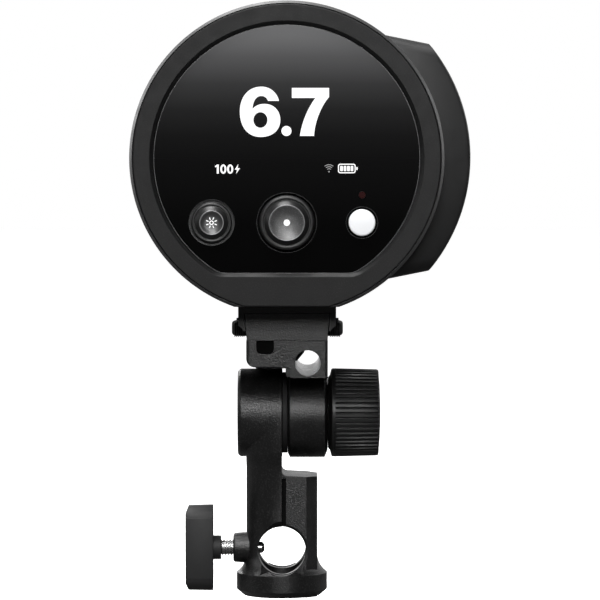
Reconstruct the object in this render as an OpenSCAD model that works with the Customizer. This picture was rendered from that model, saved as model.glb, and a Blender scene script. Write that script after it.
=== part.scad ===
// Battery monolight on a tilting stand bracket. Millimetres, +Z up.
// Origin: mouth of the stand socket. The control panel faces -Y, the lamp fires towards +Y.

/* [Head] */
// sideways offset of the head axis from the stand socket
head_x = 1.9; // [1:0.1:2.6]
// height of the head axis above the stand socket
head_z = 149.8; // [148.8:0.2:153]
// outer radius of the collar round the control panel
collar_r = 51.3; // [51.2:0.05:52]
// outer radius of the housing tube
body_r = 50.2; // [50:0.1:50.5]
// depth of the flat under the head, below its axis
belly = 48.4; // [48.2:0.1:48.6]
// wall thickness of the housing
wall = 2.2; // [2:0.1:2.4]
// rear face of the panel ring
rear_y = -60; // [-62:0.5:-60]
// outer radius of the smooth barrel that takes light shapers
barrel_r = 49.2; // [49:0.1:49.3]
// length of the smooth barrel
barrel_length = 47; // [46:1:50]

/* [Control panel] */
// radius of the panel ring at its outer seam
ring_r = 50.3; // [50:0.1:50.35]
// radius of the window in the panel ring
window_r = 44.7; // [44.5:0.05:45]
// depth of the flat edge of that window, below the axis
window_flat = 38.5; // [38.3:0.1:38.8]
// radius of the panel glass
glass_r = 43.4; // [43.2:0.05:43.6]
// depth of the glass's flat lower edge, below the axis
glass_flat = 37.5; // [37.2:0.1:37.5]
// depth of the row of controls, below the axis
controls_drop = 20.9; // [20:0.1:21.2]
// sideways distance of both small buttons from the dial
buttons_side = 24.5; // [24:0.1:25]
// radius of the dial
dial_r = 9.1; // [8.8:0.1:9.2]
// radius of the modelling light button
light_button_r = 6.8; // [6.4:0.1:6.9]
// radius of the test button
test_button_r = 4.4; // [4.2:0.1:4.6]

/* [Battery] */
// outer radius of the battery's curved side
battery_r = 58.3; // [58:0.1:59]
// half height of the battery where it meets the head
battery_half = 40.5; // [40.3:0.1:41.2]
// distance of the battery seat from the head axis
bay_x = 28.5; // [28.4:0.05:28.6]
// rear end of the battery bay
bay_y0 = -37.6; // [-38:0.1:-37.4]
// front end of the battery bay
bay_y1 = 47.6; // [47.5:0.1:48]
// radius of a cell
cell_r = 9.1; // [9:0.05:9.1]
// length of a cell
cell_length = 65; // [64:0.5:65]

/* [Dock] */
// half width of the dock rail under the head
rail_half = 16.35; // [16.2:0.05:16.5]
// half width of the carriage at its top
carriage_top = 14.25; // [14:0.05:14.3]
// half width of the carriage at its foot
carriage_foot = 13.5; // [13.3:0.05:13.6]
// half length of carriage and bracket
bracket_half = 29; // [28:0.5:29]
// radius of the umbrella bore
umbrella_r = 4.3; // [4.2:0.05:4.35]

/* [Tilt joint] */
// height of the tilt axis
tilt_z = 62.3; // [62:0.1:62.6]
// radius of the fixed drum on the stand arm
fixed_drum_r = 15; // [14.8:0.1:15.1]
// radius of the tilting drum on the bracket
tilting_drum_r = 15.25; // [15:0.05:15.3]
// radius of the tilt lock knob
knob_r = 15.1; // [14.8:0.1:15.2]
// number of grip ribs on the knob
knob_ribs = 54; // [48:1:56]

/* [Stand arm] */
// radius of the column and arm
arm_r = 12.1; // [12:0.05:12.3]
// radius of the foot flange
flange_r = 15.45; // [15:0.05:15.6]
// radius of both stud sockets
socket_r = 8.15; // [8.1:0.01:8.2]
// depth of the upright stud socket
socket_depth = 34; // [33:0.5:35]
// height of the cross socket and the clamp screw
cross_z = 16; // [16:0.1:16.2]
// radius of the clamp screw
screw_r = 2.9; // [2.85:0.01:2.9]
// half length of the clamp screw's bar handle
handle_half = 14.75; // [14:0.05:15]

/* [Hidden] */
$fn = 72;
e = 0.01;
play = 0.05;

// head stations along Y
collar_y0 = rear_y + 0.8;
collar_y1 = rear_y + 10;
glass_y0 = rear_y + 1;
glass_y1 = glass_y0 + 2;
panel_back = glass_y1 + 1.2;
board_y0 = panel_back + 3.4;
board_y1 = board_y0 + 1.6;
flange_y1 = panel_back + 1.6;
housing_y1 = bay_y1 + 6.4;
spigot_y0 = housing_y1 - 4;
vents_y1 = housing_y1 + 8;
barrel_y1 = vents_y1 + barrel_length;
front_y = barrel_y1 + 6;
inner_r = body_r - wall;
inner_floor = belly - wall;
bay_wall_x = bay_x - wall;
barrel_bore = barrel_r - 3.2;
bulkhead_y = vents_y1 + 10;

// battery
battery_x = bay_x + 0.4;
battery_y0 = bay_y0 + 0.4;
battery_y1 = bay_y1 - 0.4;
battery_axis = 2.5;
shell = 1.8;
battery_seam = 34;
battery_slope = 11.4;
latch_y = -14;
gauge_y = 14;
gauge_pitch = 4;
check_y = 32;

// dock
rail_top = head_z - belly;
carriage_z0 = 88.5;
carriage_z1 = carriage_z0 + 9.15;
rail_gap = 0.15;
release_z0 = 89.3;
release_z1 = 94.1;
release_out = 18.9;
release_plan = 18.6;

// bracket
block_half = bracket_half - 0.3;
arm_left = -11.8;
arm_right = 15.5;
neck_left = 2.85;
arm_floor = 79.6;
neck_floor = 76;
umbrella_x = 8.8;
umbrella_z = 81.05;
pad_angle = 140;
pad_r = 2.6;
pad_half = 5.5;

// tilt joint stations along X
drum_left = -15;
drum_face = 0.2;
disc_face = 1.95;
drum2_left = 2;
drum2_right = 15.6;
washer_face = 16.6;
knob_left = 17;
knob_right = 33;
bolt_r = 4;

// clamp screw stations along X
handle_x0 = -32.9;
handle_x1 = -23.5;
neck_x1 = -20.8;
boss_x0 = -16.6;
tip_x1 = -5.95;
tip_x0 = -9.2;
tip_r = 1.95;

// fittings
screw3_r = 1.45;
pilot3_r = 1.5;
screw2_r = 0.95;

// every separate piece, by node name

// which node to draw

// ---------- helpers ----------

// cylinder or cone along Y between two stations
module along_y(y0, y1, r, r_end = -1) {
    translate([0, y0, 0])
        rotate([-90, 0, 0])
            cylinder(h = y1 - y0, r1 = r, r2 = r_end < 0 ? r : r_end);
}

// cylinder or cone along X between two stations
module along_x(x0, x1, r, r_end = -1) {
    translate([x0, 0, 0])
        rotate([0, 90, 0])
            cylinder(h = x1 - x0, r1 = r, r2 = r_end < 0 ? r : r_end);
}

// box between two corners
module box(x0, x1, y0, y1, z0, z1) {
    translate([x0, y0, z0])
        cube([x1 - x0, y1 - y0, z1 - z0]);
}

// turned about Y: the profile's x is radius, its y is the station
module turned_y() {
    rotate([-90, 0, 0])
        rotate_extrude()
            children();
}

// turned about X: the profile's x is radius, its y is the station
module turned_x() {
    rotate([0, 90, 0])
        rotate_extrude()
            children();
}

// flat outline in X and Z, drawn out along Y
module outline_xz(y0, y1) {
    translate([0, y1, 0])
        rotate([90, 0, 0])
            linear_extrude(height = y1 - y0)
                children();
}

// flat outline drawn out along X: its x is height, its y is the station
module outline_zy(x0, x1) {
    translate([x1, 0, 0])
        rotate([0, -90, 0])
            linear_extrude(height = x1 - x0)
                children();
}

// a bar's profile, with its two outer corners rounded by f0 and f1
module soft_bar(r0, r1, s0, s1, f0, f1) {
    f = max(f0, f1);
    translate([r0, s0])
        square([r1 - f - r0, s1 - s0]);
    translate([r0, s0 + f0])
        square([r1 - r0, s1 - s0 - f0 - f1]);
    translate([r1 - f0, s0 + f0])
        circle(r = f0);
    translate([r1 - f1, s1 - f1])
        circle(r = f1);
}

// a disc with a flat lower edge
module flat_disc(r, drop) {
    intersection() {
        circle(r = r);
        translate([-r - 1, -drop])
            square([2 * r + 2, r + drop + 1]);
    }
}

module at_head() {
    translate([head_x, 0, head_z])
        children();
}

module at_tilt() {
    translate([0, 0, tilt_z])
        children();
}

module at_cross() {
    translate([0, 0, cross_z])
        children();
}

module at_dial() {
    at_head()
        translate([0, 0, -controls_drop])
            children();
}

module at_light() {
    at_head()
        translate([-buttons_side, 0, -controls_drop])
            children();
}

module at_test() {
    at_head()
        translate([buttons_side, 0, -controls_drop])
            children();
}

// everything above the belly flat, set in by a margin
module above_belly(inset = 0) {
    box(-70, 70, -80, 130, inset - belly, 80);
}

// ---------- stand arm ----------

column_half = 11;
chamfer_x = 8.4;
web_top = 41.6;

// the half column's outline from above
module column_plan() {
    intersection() {
        circle(r = arm_r);
        translate([-20, -20])
            square([20 + e, 40]);
    }
    polygon([
        [-2, -column_half], [chamfer_x, -column_half],
        [arm_r, chamfer_x - column_half - 4.7], [arm_r, 4.7 + column_half - chamfer_x],
        [chamfer_x, column_half], [-2, column_half]
    ]);
}

module stand_arm() {
    fillet = 8;
    flange_top = 7.7;
    rise = sqrt(2 * fillet * (flange_r - arm_r) - pow(flange_r - arm_r, 2));
    bevel = 2;
    bevel_in = 2.3;
    flare_z0 = 44;
    flare_z1 = 50;
    flare_r = 14.9;
    web_fillet = 1.8;
    relief_r = 8.6;
    relief_half = 3.5;
    mouth = 0.4;
    groove = 1.45;
    color("DimGray")
        difference() {
            union() {
                // foot flange with a bevel below and a hollow fillet above
                cylinder(h = bevel, r1 = flange_r - bevel_in, r2 = flange_r);
                translate([0, 0, bevel])
                    cylinder(h = flange_top - bevel, r = flange_r);
                rotate_extrude()
                    difference() {
                        translate([0, flange_top - e])
                            square([flange_r, rise]);
                        translate([arm_r + fillet, flange_top + rise])
                            circle(r = fillet + 0.001);
                    }
                // column: round on the left, flat with chamfers on the right, its top falling away
                difference() {
                    linear_extrude(height = web_top)
                        column_plan();
                    translate([0, -20, web_top])
                        rotate([0, 2.6, 0])
                            translate([0.4, 0, 0])
                                cube([20, 40, 4]);
                }
                // hollow fillet where that top meets the arm
                difference() {
                    box(-1, web_fillet, -column_half, column_half, web_top - 1, web_top + web_fillet);
                    translate([web_fillet, 0, web_top + web_fillet])
                        along_y(-20, 20, web_fillet + 0.05);
                }
                // arm up to the drum, flared where it meets it
                intersection() {
                    union() {
                        cylinder(h = tilt_z, r = arm_r);
                        translate([0, 0, flare_z0])
                            cylinder(h = flare_z1 - flare_z0, r1 = arm_r, r2 = flare_r);
                        translate([0, 0, flare_z1])
                            cylinder(h = tilt_z - flare_z1, r = flare_r);
                    }
                    box(-arm_r, 0, -20, 20, web_top - 2, tilt_z);
                }
                // fixed drum of the tilt joint
                at_tilt()
                    turned_x()
                        soft_bar(0, fixed_drum_r, drum_left, drum_face, 1.4, 0.3);
                // boss for the clamp screw
                at_cross()
                    turned_x()
                        polygon([
                            [0, boss_x0], [4.5, boss_x0], [5, boss_x0 + 0.5],
                            [5.4, -11], [0, -11]
                        ]);
            }
            // upright stud socket
            translate([0, 0, -e])
                cylinder(h = socket_depth, r = socket_r);
            translate([0, 0, -e])
                cylinder(h = mouth + e, r1 = socket_r + mouth + e, r2 = socket_r);
            // cross socket, flared at both mouths
            at_cross() {
                along_y(-20, 20, socket_r);
                for (s = [0, 180])
                    rotate([0, 0, s])
                        along_y(-13.2, -10.2, socket_r + 3, socket_r);
            }
            // cored relief where the two sockets cross
            translate([0, 0, cross_z - relief_half])
                cylinder(h = 2 * relief_half, r = relief_r);
            // tapped hole for the clamp screw
            at_cross()
                along_x(boss_x0 - 1, -6, screw_r + play);
            // grooves between the round and the flat half, closed at the top
            for (s = [-1, 1])
                box(0, groove, s > 0 ? 9.6 : -13, s > 0 ? 13 : -9.6, cross_z, web_top - 0.9);
            // bolt hole and the pocket for the bolt's head
            at_tilt() {
                along_x(drum_left - 1, drum_face + 1, bolt_r + 0.1);
                along_x(drum_left - 1, -8, 7.6);
            }
        }
}

module tilt_bolt() {
    color("Silver")
        at_tilt() {
            along_x(-12.5, 30.4, bolt_r);
            translate([-12.5, 0, 0])
                rotate([0, 90, 0])
                    cylinder(h = 4.5, r = 7.5, $fn = 6);
        }
}

module bolt_cap() {
    color("#202020")
        at_tilt()
            turned_x()
                polygon([
                    [0, drum_left + 0.4], [5.8, drum_left + 0.4], [6.2, drum_left], [7.1, drum_left],
                    [7.58, drum_left + 0.5], [7.58, -12.6], [0, -12.6]
                ]);
}

module friction_disc() {
    color("#303234")
        at_tilt()
            difference() {
                turned_x()
                    soft_bar(0, 13.8, drum_face, disc_face, 0.3, 0.3);
                along_x(drum_face - 1, disc_face + 1, bolt_r + 0.3);
            }
}

// ---------- tilt lock knob ----------

module thrust_washer() {
    color("Gainsboro")
        at_tilt()
            difference() {
                along_x(drum2_right + play, washer_face, 9.5);
                along_x(drum2_right - 1, washer_face + 1, bolt_r + 0.2);
            }
}

module knob_grip() {
    taper = 0.4;
    rib_cut = 0.42;
    color("#181818")
        at_tilt()
            difference() {
                turned_x()
                    polygon([
                        [0, knob_left - 1.3], [12.5, knob_left - 1.3], [knob_r - 0.3, knob_left],
                        [knob_r, knob_left + 0.4], [knob_r - taper, knob_right - 0.5],
                        [knob_r - taper - 0.5, knob_right], [0, knob_right]
                    ]);
                // grip ribs
                for (i = [0 : knob_ribs - 1])
                    rotate([i * 360 / knob_ribs, 0, 0])
                        translate([0, 0, knob_r + 0.05])
                            along_x(knob_left + 1.3, knob_right + 1, rib_cut);
                // pocket for the washer, bore for the threaded insert, seat for the cap
                along_x(knob_left - 2, washer_face + play, 9.7);
                along_x(washer_face, knob_right + 1, 6.5);
                along_x(knob_right - 1.6, knob_right + 1, 12.6);
            }
}

module knob_insert() {
    color("DarkGoldenrod")
        at_tilt()
            difference() {
                along_x(washer_face + play, knob_right - 2.2, 6.5);
                along_x(washer_face - 1, knob_right, bolt_r + play);
            }
}

module knob_cap() {
    back = knob_right - 1.6;
    color("#181818")
        at_tilt()
            turned_x()
                polygon([
                    [0, back], [12.55, back], [12.55, knob_right - 0.1], [12.3, knob_right + 0.1],
                    [9.5, knob_right + 0.35], [5, knob_right + 0.55], [0, knob_right + 0.6]
                ]);
}

// ---------- clamp screw ----------

module clamp_tip() {
    color("Silver")
        at_cross()
            turned_x()
                polygon([
                    [0, tip_x0 + play], [tip_r, tip_x0 + play], [tip_r, tip_x1 - 0.8],
                    [tip_r - 0.8, tip_x1], [0, tip_x1]
                ]);
}

module clamp_screw() {
    color("Silver")
        at_cross()
            turned_x()
                polygon([
                    [0, handle_x0 + 4], [screw_r, handle_x0 + 4],
                    [screw_r, tip_x0 - 0.6], [screw_r - 0.6, tip_x0], [0, tip_x0]
                ]);
}

module clamp_handle() {
    depth_half = 5;
    flat_half = 10.4;
    lean = 1.3;
    color("#3a3c3e")
        at_cross()
            difference() {
                union() {
                    intersection() {
                        // bar outline seen from behind, with a beveled outer edge
                        outline_xz(-depth_half, depth_half)
                            polygon([
                                [handle_x1, -handle_half], [handle_x1, handle_half],
                                [handle_x0 + 1, handle_half - 0.3],
                                [handle_x0, handle_half - lean - 1.6],
                                [handle_x0, lean + 1.6 - handle_half],
                                [handle_x0 + 1, 0.3 - handle_half]
                            ]);
                        // ends rounded in depth
                        union() {
                            box(handle_x0, handle_x1, -depth_half, depth_half, -flat_half, flat_half);
                            for (s = [-1, 1])
                                translate([0, 0, s * (handle_half - depth_half)])
                                    along_x(handle_x0, handle_x1, depth_half);
                        }
                    }
                    along_x(handle_x1 - 1, neck_x1, 4.1);
                }
                along_x(handle_x0 + 4, neck_x1 + 1, screw_r);
            }
}

// ---------- bracket ----------

module pad_shape(extra, deep) {
    // the pad's rod runs towards the bore from the upper left
    translate([umbrella_x, 0, umbrella_z])
        rotate([0, -pad_angle, 0])
            translate([umbrella_r - 1.3 - (extra > 0 ? 1 : 0), 0, 0])
                along_x(0, deep, pad_r + extra);
}

module tilt_bracket() {
    edge = 0.9;
    corner = 2.9;
    color("#26282a")
        difference() {
            union() {
                // block seen from behind: arm on the left, umbrella tube on the right
                intersection() {
                    outline_xz(-block_half, block_half)
                        difference() {
                            union() {
                                translate([arm_left, arm_floor + corner])
                                    square([arm_right - arm_left, carriage_z0 - arm_floor - corner]);
                                translate([arm_left + corner, arm_floor])
                                    square([arm_right - arm_left - corner, corner + e]);
                                translate([arm_left + corner, arm_floor + corner])
                                    circle(r = corner);
                                translate([neck_left, neck_floor])
                                    square([arm_right - neck_left, arm_floor - neck_floor + e]);
                                translate([neck_left - 1.2, arm_floor - 1.2])
                                    square([1.2 + e, 1.2 + e]);
                            }
                            translate([neck_left - 1.2, arm_floor - 1.2])
                                circle(r = 1.2);
                        }
                    // upright edges chamfered at both ends
                    linear_extrude(height = 100)
                        polygon([
                            [arm_left + edge, -block_half], [arm_right - edge, -block_half],
                            [arm_right, edge - block_half], [arm_right, block_half - edge],
                            [arm_right - edge, block_half], [arm_left + edge, block_half],
                            [arm_left, block_half - edge], [arm_left, edge - block_half]
                        ]);
                }
                // tilting drum and the web that carries it
                at_tilt()
                    turned_x()
                        polygon([
                            [0, drum2_left], [tilting_drum_r - 1.5, drum2_left],
                            [tilting_drum_r, drum2_left + 0.8], [tilting_drum_r, drum2_right - 1],
                            [tilting_drum_r - 2.5, drum2_right], [0, drum2_right]
                        ]);
                box(neck_left, arm_right, -9, 9, tilt_z, neck_floor + e);
            }
            // bore for the pivot bush
            at_tilt()
                along_x(drum2_left - 1, drum2_right + 1, 5.5);
            // umbrella bore with a relief round the pad
            translate([umbrella_x, 0, umbrella_z]) {
                along_y(-40, 40, umbrella_r);
                along_y(-pad_half, pad_half, umbrella_r + 0.25);
            }
            pad_shape(play, 6.4);
            // round-bottomed pocket beside the bore
            outline_xz(-bracket_half - 1, -14) {
                translate([-8.4, 85.7])
                    square([5.9, 3]);
                translate([-6.8, 84.1])
                    square([2.7, 3]);
                for (x = [-6.8, -4.1])
                    translate([x, 85.7])
                        circle(r = 1.6);
            }
            // tapped holes for the carriage screws
            for (p = [[1, -22], [1, 22], [-7, 12]])
                translate([p[0], p[1], 80.4])
                    cylinder(h = 10, r = pilot3_r);
        }
}

module pivot_bush() {
    color("Peru")
        at_tilt()
            difference() {
                along_x(drum2_left + 0.3, drum2_right - 0.3, 5.5);
                along_x(drum2_left - 1, drum2_right + 1, bolt_r + play);
            }
}

module carriage() {
    lug_y = 13;
    lug_out = 17.6;
    color("#2c2e30")
        difference() {
            translate([head_x, 0, 0]) {
                outline_xz(-bracket_half, bracket_half)
                    polygon([
                        [-carriage_foot, carriage_z0], [carriage_foot, carriage_z0],
                        [carriage_top, carriage_z1], [-carriage_top, carriage_z1]
                    ]);
                // guide lugs beside the release buttons, clear of the rail
                for (s = [0, 1])
                    mirror([s, 0, 0])
                        outline_xz(lug_y, lug_y + 1.8)
                            polygon([
                                [1 - carriage_foot, release_z0], [-lug_out, release_z0],
                                [-lug_out, release_z1 - 0.2], [1.05 - lug_out, release_z1 - 0.2],
                                [1.05 - lug_out, release_z1 - 0.7], [3 - lug_out, release_z0 + 2.15],
                                [1 - carriage_foot, release_z0 + 2.15]
                            ]);
            }
            // pockets and guide slots for both release buttons
            for (s = [0, 1])
                translate([head_x, 0, 0])
                    mirror([s, 0, 0]) {
                        box(-20, -carriage_foot + 1.3, -13, 13, release_z0 - 0.1, release_z0 + 2);
                        box(-20, -4.4, -4.1, 4.1, release_z0 - 0.1, release_z0 + 2);
                    }
            for (p = [[1, -22], [1, 22], [-7, 12]])
                translate([p[0], p[1], 0]) {
                    translate([0, 0, carriage_z0 - 1])
                        cylinder(h = 12, r = pilot3_r + 0.1);
                    translate([0, 0, carriage_z1 - 2.2])
                        cylinder(h = 3, r = 2.9);
                }
        }
}

module carriage_screws() {
    color("Silver")
        for (p = [[1, -22], [1, 22], [-7, 12]])
            translate([p[0], p[1], 0]) {
                translate([0, 0, 81])
                    cylinder(h = carriage_z1 - 83, r = screw3_r);
                translate([0, 0, carriage_z1 - 2.2])
                    difference() {
                        cylinder(h = 2, r = 2.8);
                        translate([0, 0, 0.9])
                            cylinder(h = 2, r = 1.4, $fn = 6);
                    }
            }
}

module umbrella_pad() {
    color("#101010")
        pad_shape(0, 4);
}

module release_button() {
    intersection() {
        union() {
            outline_xz(-12, 12)
                polygon([
                    [-release_out, release_z0], [-release_out, release_z1],
                    [1.5 - release_out, release_z1], [1.5 - release_out, release_z1 - 0.5],
                    [3.9 - release_out, release_z0 + 1.9], [-carriage_foot - 0.1, release_z0 + 1.9],
                    [-carriage_foot - 0.1, release_z0]
                ]);
            box(-carriage_foot - 1, -5.6, -4, 4, release_z0, release_z0 + 1.9);
        }
        translate([release_plan - release_out, 0, release_z0 - 1])
            cylinder(h = 8, r = release_plan);
    }
}

module release_left() {
    color("#1c1c1e")
        translate([head_x, 0, 0])
            release_button();
}

module release_right() {
    color("#1c1c1e")
        translate([head_x, 0, 0])
            mirror([1, 0, 0])
                release_button();
}

// ---------- head: shell and panel ----------

ring_screw_r = 46.4;

module housing_solid() {
    at_head()
        intersection() {
            union() {
                turned_y()
                    soft_bar(0, collar_r, collar_y0, collar_y1, 0.9, 1.2);
                along_y(collar_y1 - 1, housing_y1, body_r);
            }
            above_belly();
        }
}

// the left side of the tube is where ports and vents sit
port_y0 = -34;
port_y1 = -10;
port_half = 7;
port_hinge_y = -8.6;
port_hinge_x = 49.5;

module rear_housing() {
    boss_r = 3.4;
    color("#2a2c2e")
        difference() {
            union() {
                difference() {
                    housing_solid();
                    // hollow inside, kept clear of the battery bay's wall
                    at_head()
                        difference() {
                            intersection() {
                                along_y(flange_y1, housing_y1 + 1, inner_r);
                                above_belly(wall);
                            }
                            box(bay_wall_x, 70, bay_y0 - wall, bay_y1 + wall, -70, 70);
                        }
                    // round seat for the front barrel
                    at_head()
                        along_y(spigot_y0 - 0.1, housing_y1 + 1, inner_r);
                }
                // bosses for the chassis and the dock rail
                at_head()
                    intersection() {
                        along_y(collar_y1, housing_y1, inner_r + 1);
                        union() {
                            for (x = [-20, 20], y = [-30, 30])
                                translate([x, y, 0.5 - belly])
                                    cylinder(h = belly - 0.5 + tray_z0, r = boss_r);
                            for (x = [-10, 10], y = [-22, 22])
                                translate([x, y, 0.5 - belly])
                                    cylinder(h = 8, r = boss_r);
                        }
                    }
            }
            at_head() {
                // seat for the panel ring, then the clear opening behind it
                along_y(collar_y0 - 1, panel_back + play, ring_r + play);
                along_y(collar_y0, flange_y1 + 1, 43.3);
                // battery bay and the window for its connector
                box(bay_x, 70, bay_y0, bay_y1, -70, 70);
                box(bay_wall_x - 1, 70, -8, 8, -6, 6);
                // screw holes in the ring's flange
                for (a = [0 : 60 : 300])
                    rotate([0, a, 0])
                        translate([ring_screw_r, 0, 0])
                            along_y(panel_back - 1, flange_y1 + 1, 1.2);
                // pilot holes in the bosses
                for (x = [-20, 20], y = [-30, 30])
                    translate([x, y, -42])
                        cylinder(h = 10, r = pilot3_r);
                for (x = [-10, 10], y = [-22, 22])
                    translate([x, y, -belly - 1])
                        cylinder(h = 8, r = pilot3_r);
                // recess for the port cover, its knuckle and the two sockets
                difference() {
                    box(-60, -40, port_y0 - 0.3, port_y1 + 0.3, -port_half - 0.3, port_half + 0.3);
                    along_y(-60, 20, body_r - 1.2);
                }
                box(-60, -port_hinge_x + 1.4, port_y1 - 1, port_hinge_y + 1.5, -5.3, 5.3);
                box(-60, -40, -31, -21, -2.2, 2.2);
                translate([0, -15.5, 0])
                    along_x(-60, -40, 3.4);
                // intake vents
                for (i = [0 : 6])
                    box(-60, -38, 6 + i * 4.6, 8 + i * 4.6, -9, 9);
            }
        }
}

module panel_ring() {
    lip = 1;
    color("#38393b")
        difference() {
            at_head()
                intersection() {
                    turned_y()
                        soft_bar(0, ring_r, rear_y, panel_back + 1, 0.5, 0.5);
                    box(-60, 60, rear_y - 1, panel_back, -belly, 60);
                }
            at_head() {
                // window for the glass, with a chamfered edge
                outline_xz(rear_y - 1, glass_y1)
                    flat_disc(glass_r + 0.1, glass_flat + 0.1);
                intersection() {
                    along_y(rear_y - 0.5, rear_y + lip + 0.2, window_r + 0.5, glass_r - 0.1);
                    outline_zy(-60, 60)
                        polygon([
                            [-window_flat - 0.5, rear_y - 0.5], [-glass_flat + 0.1, rear_y + lip + 0.2],
                            [60, rear_y + lip + 0.2], [60, rear_y - 0.5]
                        ]);
                }
                // display window and the holes for the controls
                box(-27.7, 27.7, glass_y1 - 1, panel_back + 1, -8.8, 33.4);
                for (a = [0 : 60 : 300])
                    rotate([0, a, 0])
                        translate([ring_screw_r, 0, 0])
                            along_y(rear_y + 1.6, panel_back + 1, 0.9);
                translate([buttons_side, 0, 9 - controls_drop])
                    along_y(glass_y1 - 1, panel_back + 1, 2);
            }
            at_dial()
                along_y(glass_y1 - 1, panel_back + 1, dial_r + 0.8);
            at_light()
                along_y(glass_y1 - 1, panel_back + 1, light_button_r + 2);
            at_test()
                along_y(glass_y1 - 1, panel_back + 1, test_button_r + 2);
            for (p = panel_posts)
                at_head()
                    translate([p[0], 0, p[1]])
                        along_y(panel_back - 0.7, panel_back + 1, 2.5);
        }
}

// where the control board is screwed to posts, across and up from the axis
panel_posts = [[-36, 12], [36, 12], [-12, -33.5], [12, -33.5]];

module panel_glass() {
    color("#0c0c0e")
        difference() {
            at_head()
                outline_xz(glass_y0, glass_y1)
                    flat_disc(glass_r, glass_flat);
            at_dial()
                along_y(glass_y0 - 1, glass_y1 + 1, dial_r + 0.6);
            at_light()
                along_y(glass_y0 - 1, glass_y1 + 1, light_button_r + 0.6);
            at_test()
                along_y(glass_y0 - 1, glass_y1 + 1, test_button_r + 0.7);
            at_head()
                translate([buttons_side, 0, 9 - controls_drop])
                    along_y(glass_y0 - 1, glass_y1 + 1, 1.15);
        }
}

module display_module() {
    color("#1a1d22")
        at_head()
            difference() {
                box(-27.5, 27.5, glass_y1 + play, board_y0, -8.6, 33.2);
                // raised frame round the lit area
                box(-24.8, 24.2, glass_y1 - 1, glass_y1 + 0.35, -6.7, 30);
            }
}

module control_board() {
    color("DarkGreen")
        difference() {
            at_head()
                outline_xz(board_y0, board_y1)
                    flat_disc(42, 37);
            at_dial()
                along_y(board_y0 - 1, board_y1 + 1, 3.6);
            for (p = panel_posts)
                at_head()
                    translate([p[0], 0, p[1]])
                        along_y(board_y0 - 1, board_y1 + 1, 1.2);
        }
}

module board_screws() {
    color("Silver")
        for (p = panel_posts)
            at_head()
                translate([p[0], 0, p[1]]) {
                    // threaded post seated in the panel, and the screw that holds the board on it
                    difference() {
                        along_y(panel_back - 0.7, board_y0, 2.4);
                        along_y(panel_back, board_y0 + 1, screw2_r);
                    }
                    along_y(panel_back + 0.4, board_y1, screw2_r);
                    along_y(board_y1, board_y1 + 1.3, 1.9);
                }
}

module ring_screws() {
    color("Silver")
        at_head()
            for (a = [0 : 60 : 300])
                rotate([0, a, 0])
                    translate([ring_screw_r, 0, 0]) {
                        along_y(rear_y + 1.9, flange_y1 + 0.5, 0.85);
                        along_y(flange_y1, flange_y1 + 1.2, 1.5);
                    }
}

// ---------- head: controls ----------

press = 0.6;

module encoder_body() {
    half = 6;
    color("#5a5f66")
        at_dial()
            difference() {
                box(-half, half, board_y1, board_y1 + 6.6, -half, half);
                along_y(board_y1 - 1, board_y1 + 5.9, 3 + play);
            }
}

module encoder_plunger() {
    color("Silver")
        at_dial()
            along_y(board_y1 + 4.4, board_y1 + 5.2, 2.6);
}

module dial_shaft() {
    color("Silver")
        at_dial()
            along_y(glass_y0 - 0.6, board_y1 + 4.35, 3);
}

module dial_knob() {
    top = glass_y0 - 2.6;
    color("#1a1a1c")
        at_dial()
            difference() {
                turned_y()
                    polygon([
                        [0, top + 1.1], [2.6, top + 0.9], [4.6, top + 0.4], [5.4, top],
                        [5.9, top + 0.05], [7.7, glass_y0 - 1], [8, glass_y0 - 1],
                        [8.7, glass_y0 - 0.7], [dial_r, glass_y0 - 0.1], [dial_r, glass_y1 - 0.6],
                        [0, glass_y1 - 0.6]
                    ]);
                along_y(glass_y0 - 0.6, glass_y1 + 1, 3);
            }
}

module small_button(r, rim, top) {
    turned_y()
        polygon([
            [0, top + 0.7], [rim * 0.6, top + 0.4], [rim - 0.6, top], [rim, top + 0.05],
            [rim + 1.4, glass_y0 - 0.6], [r - 0.4, glass_y0 - 0.35], [r, glass_y0],
            [r, glass_y1 + play], [r + 1.4, glass_y1 + play], [r + 1.4, glass_y1 + 0.4],
            [0, glass_y1 + 0.4]
        ]);
}

module light_button() {
    color("#1a1a1c")
        at_light()
            small_button(light_button_r, 4, glass_y0 - 1.5);
}

module test_button() {
    color("White")
        at_test()
            turned_y()
                polygon([
                    [0, glass_y0 - 0.9], [test_button_r - 0.4, glass_y0 - 0.9],
                    [test_button_r, glass_y0 - 0.5], [test_button_r, glass_y1 + play],
                    [test_button_r + 1.4, glass_y1 + play], [test_button_r + 1.4, glass_y1 + 0.4],
                    [0, glass_y1 + 0.4]
                ]);
}

module tact_switches() {
    color("#808080") {
        at_light() {
            box(-3, 3, board_y0 - 2.6, board_y0, -3, 3);
            along_y(glass_y1 + 0.4 + press + play, board_y0 - 2.5, 1.7);
        }
        at_test() {
            box(-3, 3, board_y0 - 2.6, board_y0, -3, 3);
            along_y(glass_y1 + 0.4 + press + play, board_y0 - 2.5, 1.7);
        }
    }
}

module ready_lamp() {
    color("Maroon")
        at_head()
            translate([buttons_side, 0, 9 - controls_drop]) {
                along_y(glass_y0, board_y0 - 1.4, 1.1);
                along_y(board_y0 - 1.6, board_y0, 1.7);
            }
}

// ---------- head: dock ----------

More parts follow.
